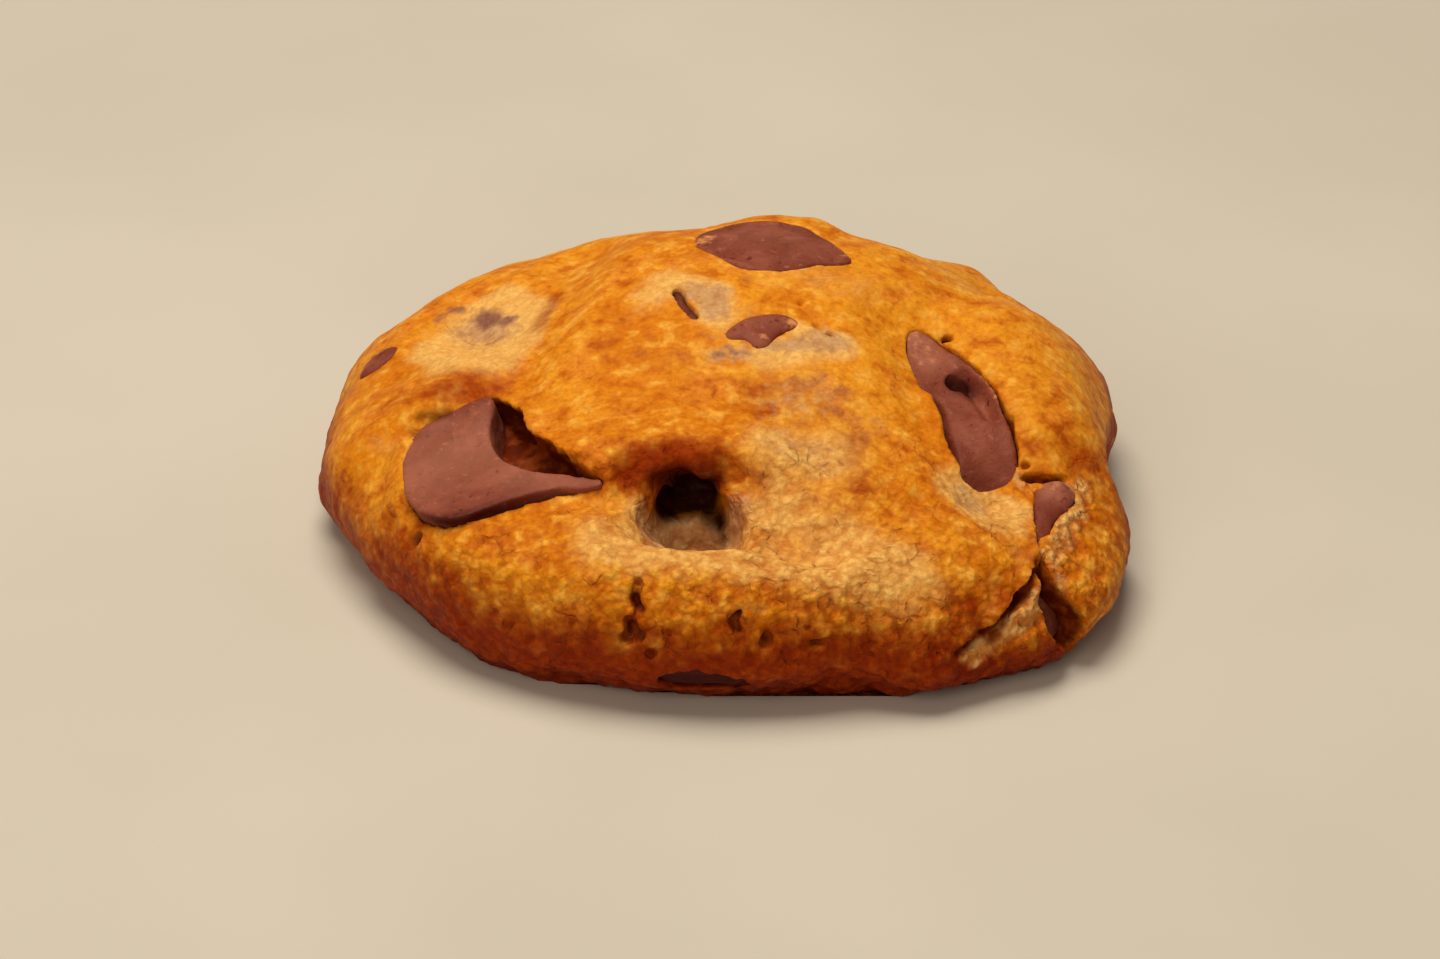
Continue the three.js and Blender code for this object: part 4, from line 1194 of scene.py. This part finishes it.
def make_crust():
    crust = Finish("golden_crust")
    drift, patch, mottle = crust.noise(11), crust.noise(4.4), crust.noise(1.9, roughness=0.55)
    speck, sugar = crust.noise(0.85, roughness=0.55), crust.noise(0.42, roughness=0.6)
    wobble = crust.node("TexNoise", {"Vector": crust.where, "Scale": WOBBLE_PER_MM, "Detail": 3})
    wobbly = {0: crust.where, 1: wobble.outputs["Color"]}
    wobbly = crust.node("VectorMath", wobbly, operation="ADD").outputs["Vector"]

    def cells(per_mm, feature, **more):
        """How far each point lies from the middles, or the edges, of wobbly cells."""
        made = crust.node("TexVoronoi", {"Vector": wobbly, "Scale": per_mm} | more, feature=feature)
        return made.outputs["Distance"]

    def varied(name, amount, pattern):
        """A mark made uneven by a pattern, only where there is some of it."""
        size = crust.mark(name)
        there = crust.math("MINIMUM", crust.times(size, 3), 1)
        swing = crust.times(crust.math("SUBTRACT", pattern, 0.5), amount)
        return crust.math("ADD", size, crust.times(swing, there))

    knobs = crust.math("SUBTRACT", 1, cells(KNOBS_PER_MM, "SMOOTH_F1", Smoothness=0.4))
    crackle = crust.math("SUBTRACT", 1, crust.ramp(cells(CRACKLE_PER_MM, "DISTANCE_TO_EDGE"), 0, 0.1))
    pebbled = crust.math("ADD", crust.times(crust.mark("pebbles"), 0.8), 0.2)
    where_crackled = crust.times(crust.ramp(patch, 0.46, 0.6), crust.ramp(mottle, 0.44, 0.58))
    crackled = crust.times(crackle, crust.times(where_crackled, pebbled))
    # torn: painted shade for the walls inside cracks, pits and sockets, a dark red brown
    torn = crust.blend(crust.ramp(mottle, 0.42, 0.62), (104, 32, 4), (152, 68, 20))

    tone = crust.blend(crust.ramp(drift, 0.4, 0.6), (238, 158, 34), (226, 136, 18))
    for amount, colour in (
        (crust.ramp(patch, 0.52, 0.64), (234, 146, 40)),
        (crust.ramp(mottle, 0.5, 0.74), (208, 112, 12)),
        (crust.ramp(mottle, 0.48, 0.3), (244, 178, 66)),
        # pale dough, and painted light on the crest of the front roll
        (crust.ramp(varied("pale", 1, mottle), 0.15, 0.85), (243, 190, 104)),
        # browning, with painted shade on the front and on the brow over the hole
        (crust.ramp(varied("browned_and_shaded", 0.9, mottle), 0.06, 1), (164, 58, 0)),
        (crust.ramp(varied("ashen", 1.3, speck), 0.2, 1), (212, 168, 118)),
        # the scorched foot, with painted shade that makes it darkest at the front
        (crust.mark("scorched_and_shaded"), (140, 46, 0)),
        (crust.times(crackled, 0.6), (132, 56, 6)),
        (crust.mark("inside"), torn),
        (crust.ramp(varied("crumb", 2.2, mottle), 0.2, 0.9), (238, 186, 112)),
        (crust.ramp(varied("through", 1.2, mottle), 0.25, 1), (150, 104, 88)),
        # painted shade, nearly black, deep in the hole, the cavity and under the crust's edge
        (crust.mark("dark"), (46, 13, 1)),
    ):
        tone = crust.blend(amount, tone, colour)
    # painted shade: the hollows, the gaps between the knobs and those between the sugar grains are darkened
    white = (255, 255, 255)
    for amount, height, low, high in (
        (0.8, crust.ramp(varied("hollow", 0.4, speck), 0.35, 1), white, (222, 184, 152)),
        (pebbled, crust.ramp(knobs, 0.3, 0.7), (218, 184, 150), white),
        (0.4, crust.ramp(sugar, 0.36, 0.6), (216, 190, 164), white),
    ):
        tone = crust.blend(amount, tone, crust.blend(height, low, high), way="MULTIPLY")

    cracks = crust.bump(crust.times(crackled, -1), 0.8, deep=0.18)
    lumps = crust.bump(crust.times(knobs, pebbled), 0.95, deep=0.42, Normal=cracks)
    grains = crust.bump(crust.times(sugar, pebbled), 0.7, deep=0.18, Normal=lumps)
    crust.surface({
        "Base Color": tone, "Roughness": crust.math("ADD", crust.times(speck, 0.4), 0.36), "Normal": grains,
        "Specular IOR Level": 0.12, "Specular Tint": (1, 0.76, 0.44, 1), "Subsurface Weight": 0.08,
        "Subsurface Radius": (1, 0.45, 0.2), "Subsurface Scale": 0.7 * MM})
    return crust.material


crust = make_crust()
print("crust has", len(crust.node_tree.nodes), "nodes")

# %% [markdown]
# ## Finish of the chocolate
#
# Milk chocolate that melted and set is satin, not glossy. Its colour is a warm reddish brown, with a
# faint milky bloom in soft blotches. Thin dough sticks to some edges (`film`), and where a chunk faces a
# gap or runs under the dough, painted shade makes it nearly black. Small dents and scratches keep it
# from looking like plastic.

# %% Make the chocolate
def make_chocolate():
    choc = Finish("milk_chocolate")
    blotch = choc.noise(4.2, detail=3, roughness=0.6, distortion=0.5)
    fleck = choc.noise(0.8, detail=3, roughness=0.65)
    filmed = choc.math("ADD", choc.mark("film"), choc.times(choc.math("SUBTRACT", fleck, 0.5), 1.6))
    tone = choc.blend(choc.ramp(blotch, 0.3, 0.72), (118, 51, 35), (150, 80, 61))
    for amount, colour in (
        (choc.ramp(fleck, 0.58, 0.8), (168, 102, 84)),
        (choc.ramp(fleck, 0.42, 0.3), (98, 39, 26)),
        (choc.ramp(filmed, 0.3, 0.9), (214, 142, 92)),
        # painted sheen where the light falls on the chunks
        (choc.mark("painted_sheen"), (190, 124, 100)),
        # painted shade, nearly black, in gaps, pits and under the dough
        (choc.mark("dark"), (62, 9, 10)),
    ):
        tone = choc.blend(amount, tone, colour)
    dents = choc.bump(choc.noise(1.3, detail=4, roughness=0.55), 0.6, deep=0.3)
    grain = choc.bump(choc.noise(0.3, roughness=0.6), 0.4, deep=0.07, Normal=dents)
    choc.surface({
        "Base Color": tone, "Roughness": choc.math("ADD", choc.times(fleck, 0.3), 0.36), "Normal": grain,
        "Specular IOR Level": 0.14, "Specular Tint": (1, 0.8, 0.72, 1), "Subsurface Weight": 0.05,
        "Subsurface Radius": (0.8, 0.4, 0.3), "Subsurface Scale": 0.5 * MM})
    return choc.material


milk_chocolate = make_chocolate()
print("chocolate has", len(milk_chocolate.node_tree.nodes), "nodes")

# %% [markdown]
# The chunks have stains of their own: films of dough along some edges, a painted sheen where the light
# falls on them, and painted shade in the gaps.

# %% Mark the chunks
FILM = [
    ([(22.2, -1.6, 17.2), (24.2, -4.8, 16.6), (25.2, -7.6, 16)], 1.3, 1.1),
    ([(-2, 11, 21.8), (-1.2, 12.6, 21.8)], 1.8, 0.7), ([(6.2, -2.8, 21), (7.4, -3.2, 20.8)], 1.5, 0.8),
    ([(3.6, -4.8, 20.7)], 0.8, 0.8), ([(2.1, -3.5, 21.1)], 0.6, 0.6),
    ([(31, -15.6, 11.6), (31.4, -17, 11.2)], 1.2, 0.9),
    ([(-31.4, 7.4, 12.8), (-33.6, 6.8, 11.4)], 1.3, 0.5), ([(11.4, 9, 21), (12.2, 8, 20.6)], 1.4, 0.6),
    ([(17.2, 0.8, 18), (18.4, -2.4, 17.5)], 2.4, 0.5), ([(-25, -12, 14.2), (-21, -9.6, 15.6)], 3, 0.3),
    ([(28.6, -16.6, 12), (30, -16, 11.8)], 1.6, 0.5),
]
# painted sheen on the lit parts of the chunks
PAINTED_SHEEN = [
    ([(-26, -16, 13), (-20, -14, 15), (-14, -19, 15.4)], 8, 0.36),
    ([(17.4, 0.6, 18), (18.6, -2.6, 17.4)], 3.4, 0.45), ([(3, 12, 22), (8, 10, 21.6)], 5, 0.12),
    ([(29, -16.8, 11.8)], 2.6, 0.35),
]
# painted shade on the chunks: the crust's painted shade stains, and more in gaps, pits and under the dough
SHADED = PAINTED_SHADE + [
    ([(-4.2, 2.2, 21.9), (-3, 0.4, 21.8), (-2, -2.2, 21.4)], 1.8, 0.9),
    ([(-5, -35, 3), (2, -35.4, 3)], 5, 1.1), ([(28.2, -28.6, 7), (30, -28, 4)], 3.4, 1),
    ([(18.6, -8.6, 15), (19, -12, 14), (20.6, -16.4, 12.6)], 1.5, 0.7), ([(21.4, -4.9, 14.6)], 2.6, 1.2),
    ([(-27.4, -21.4, 11.8), (-26, -22.8, 12), (-24, -23.6, 12.4), (-20.5, -23.4, 13.2),
    (-17.5, -22.9, 13.7), (-14.4, -22, 14)], 1.3, 1),
    ([(21.8, -18.4, 11.8), (24.4, -17.6, 11.6)], 2.4, 0.5),
]
for piece in chocolate.values():
    if piece is not film:
        for name, stains in dict(film=FILM, painted_sheen=PAINTED_SHEEN, dark=SHADED).items():
            put_mark(piece, name, all_stains(corners_of(piece), stains))
print("marked", len(chocolate) - 1, "chunks")

# %% [markdown]
# ## Put everything together
#
# Each piece gets its finish, takes the place of its solid, and rides on the one body that a cookie has.
# The chunk at the back left only shows as a shade under thin dough, so its piece has the crust's finish.

# %% Finish the pieces and tie them to the solids
def finish_piece(piece, finish, solid):
    pick_up(piece)
    bpy.ops.object.shade_smooth()
    piece.data.materials.clear()
    piece.data.materials.append(finish)
    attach(piece, "root")
    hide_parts(solid)


throw_away(whole_skin)
finish_piece(dough, crust, "dough")
for solid, piece in chocolate.items():
    finish_piece(piece, crust if piece is film else milk_chocolate, solid)
print(1 + len(chocolate), "pieces are finished")

# %% [markdown]
# ## Floor and light
#
# A plain pale floor, a large soft light above and a little behind, and a weak one at the front left.
# Light from above skims the crust, so it shows the wrinkles and leaves the front edge in its own soft
# shade, and the weak one keeps that shade warm and open.

# %% Floor and lights
bpy.ops.mesh.primitive_plane_add(size=6, location=(0, 0, 0))
floor = just_added("floor")
pale = Finish("pale_floor")
haze = pale.ramp(pale.noise(60, detail=3), 0.3, 0.7)
pale.surface({"Base Color": pale.blend(haze, (203, 196, 184), (209, 202, 191)), "Roughness": 0.8})
floor.data.materials.append(pale.material)


def soft_light(name, at, size, power, colour):
    """A round lamp this wide, in metres, turned to the middle of the cookie."""
    lamp = bpy.data.lights.new(name, "AREA")
    lamp.shape = "DISK"
    lamp.size = size
    lamp.energy = power
    lamp.color = colour
    made = bpy.data.objects.new(name, lamp)
    bpy.context.collection.objects.link(made)
    made.location = at
    made.rotation_mode = "QUATERNION"
    made.rotation_quaternion = (MIDDLE - Vector(at)).to_track_quat("-Z", "Y")


MIDDLE = Vector((0, 0, 0.01))
soft_light("soft light above", at=(-0.06, 0.07, 0.5), size=0.34, power=2.3, colour=(1, 0.91, 0.75))
soft_light("soft fill", at=(-0.14, -0.42, 0.32), size=0.4, power=0.75, colour=(1, 0.88, 0.72))
world = bpy.data.worlds.new("studio")
world.use_nodes = True
sky = world.node_tree.nodes["Background"].inputs
sky["Color"].default_value = (1, 0.9, 0.77, 1)
sky["Strength"].default_value = 0.18
bpy.context.scene.world = world
bpy.context.scene.view_settings.view_transform = "Standard"
print("lamps:", sorted(lamp.name for lamp in bpy.data.lights))
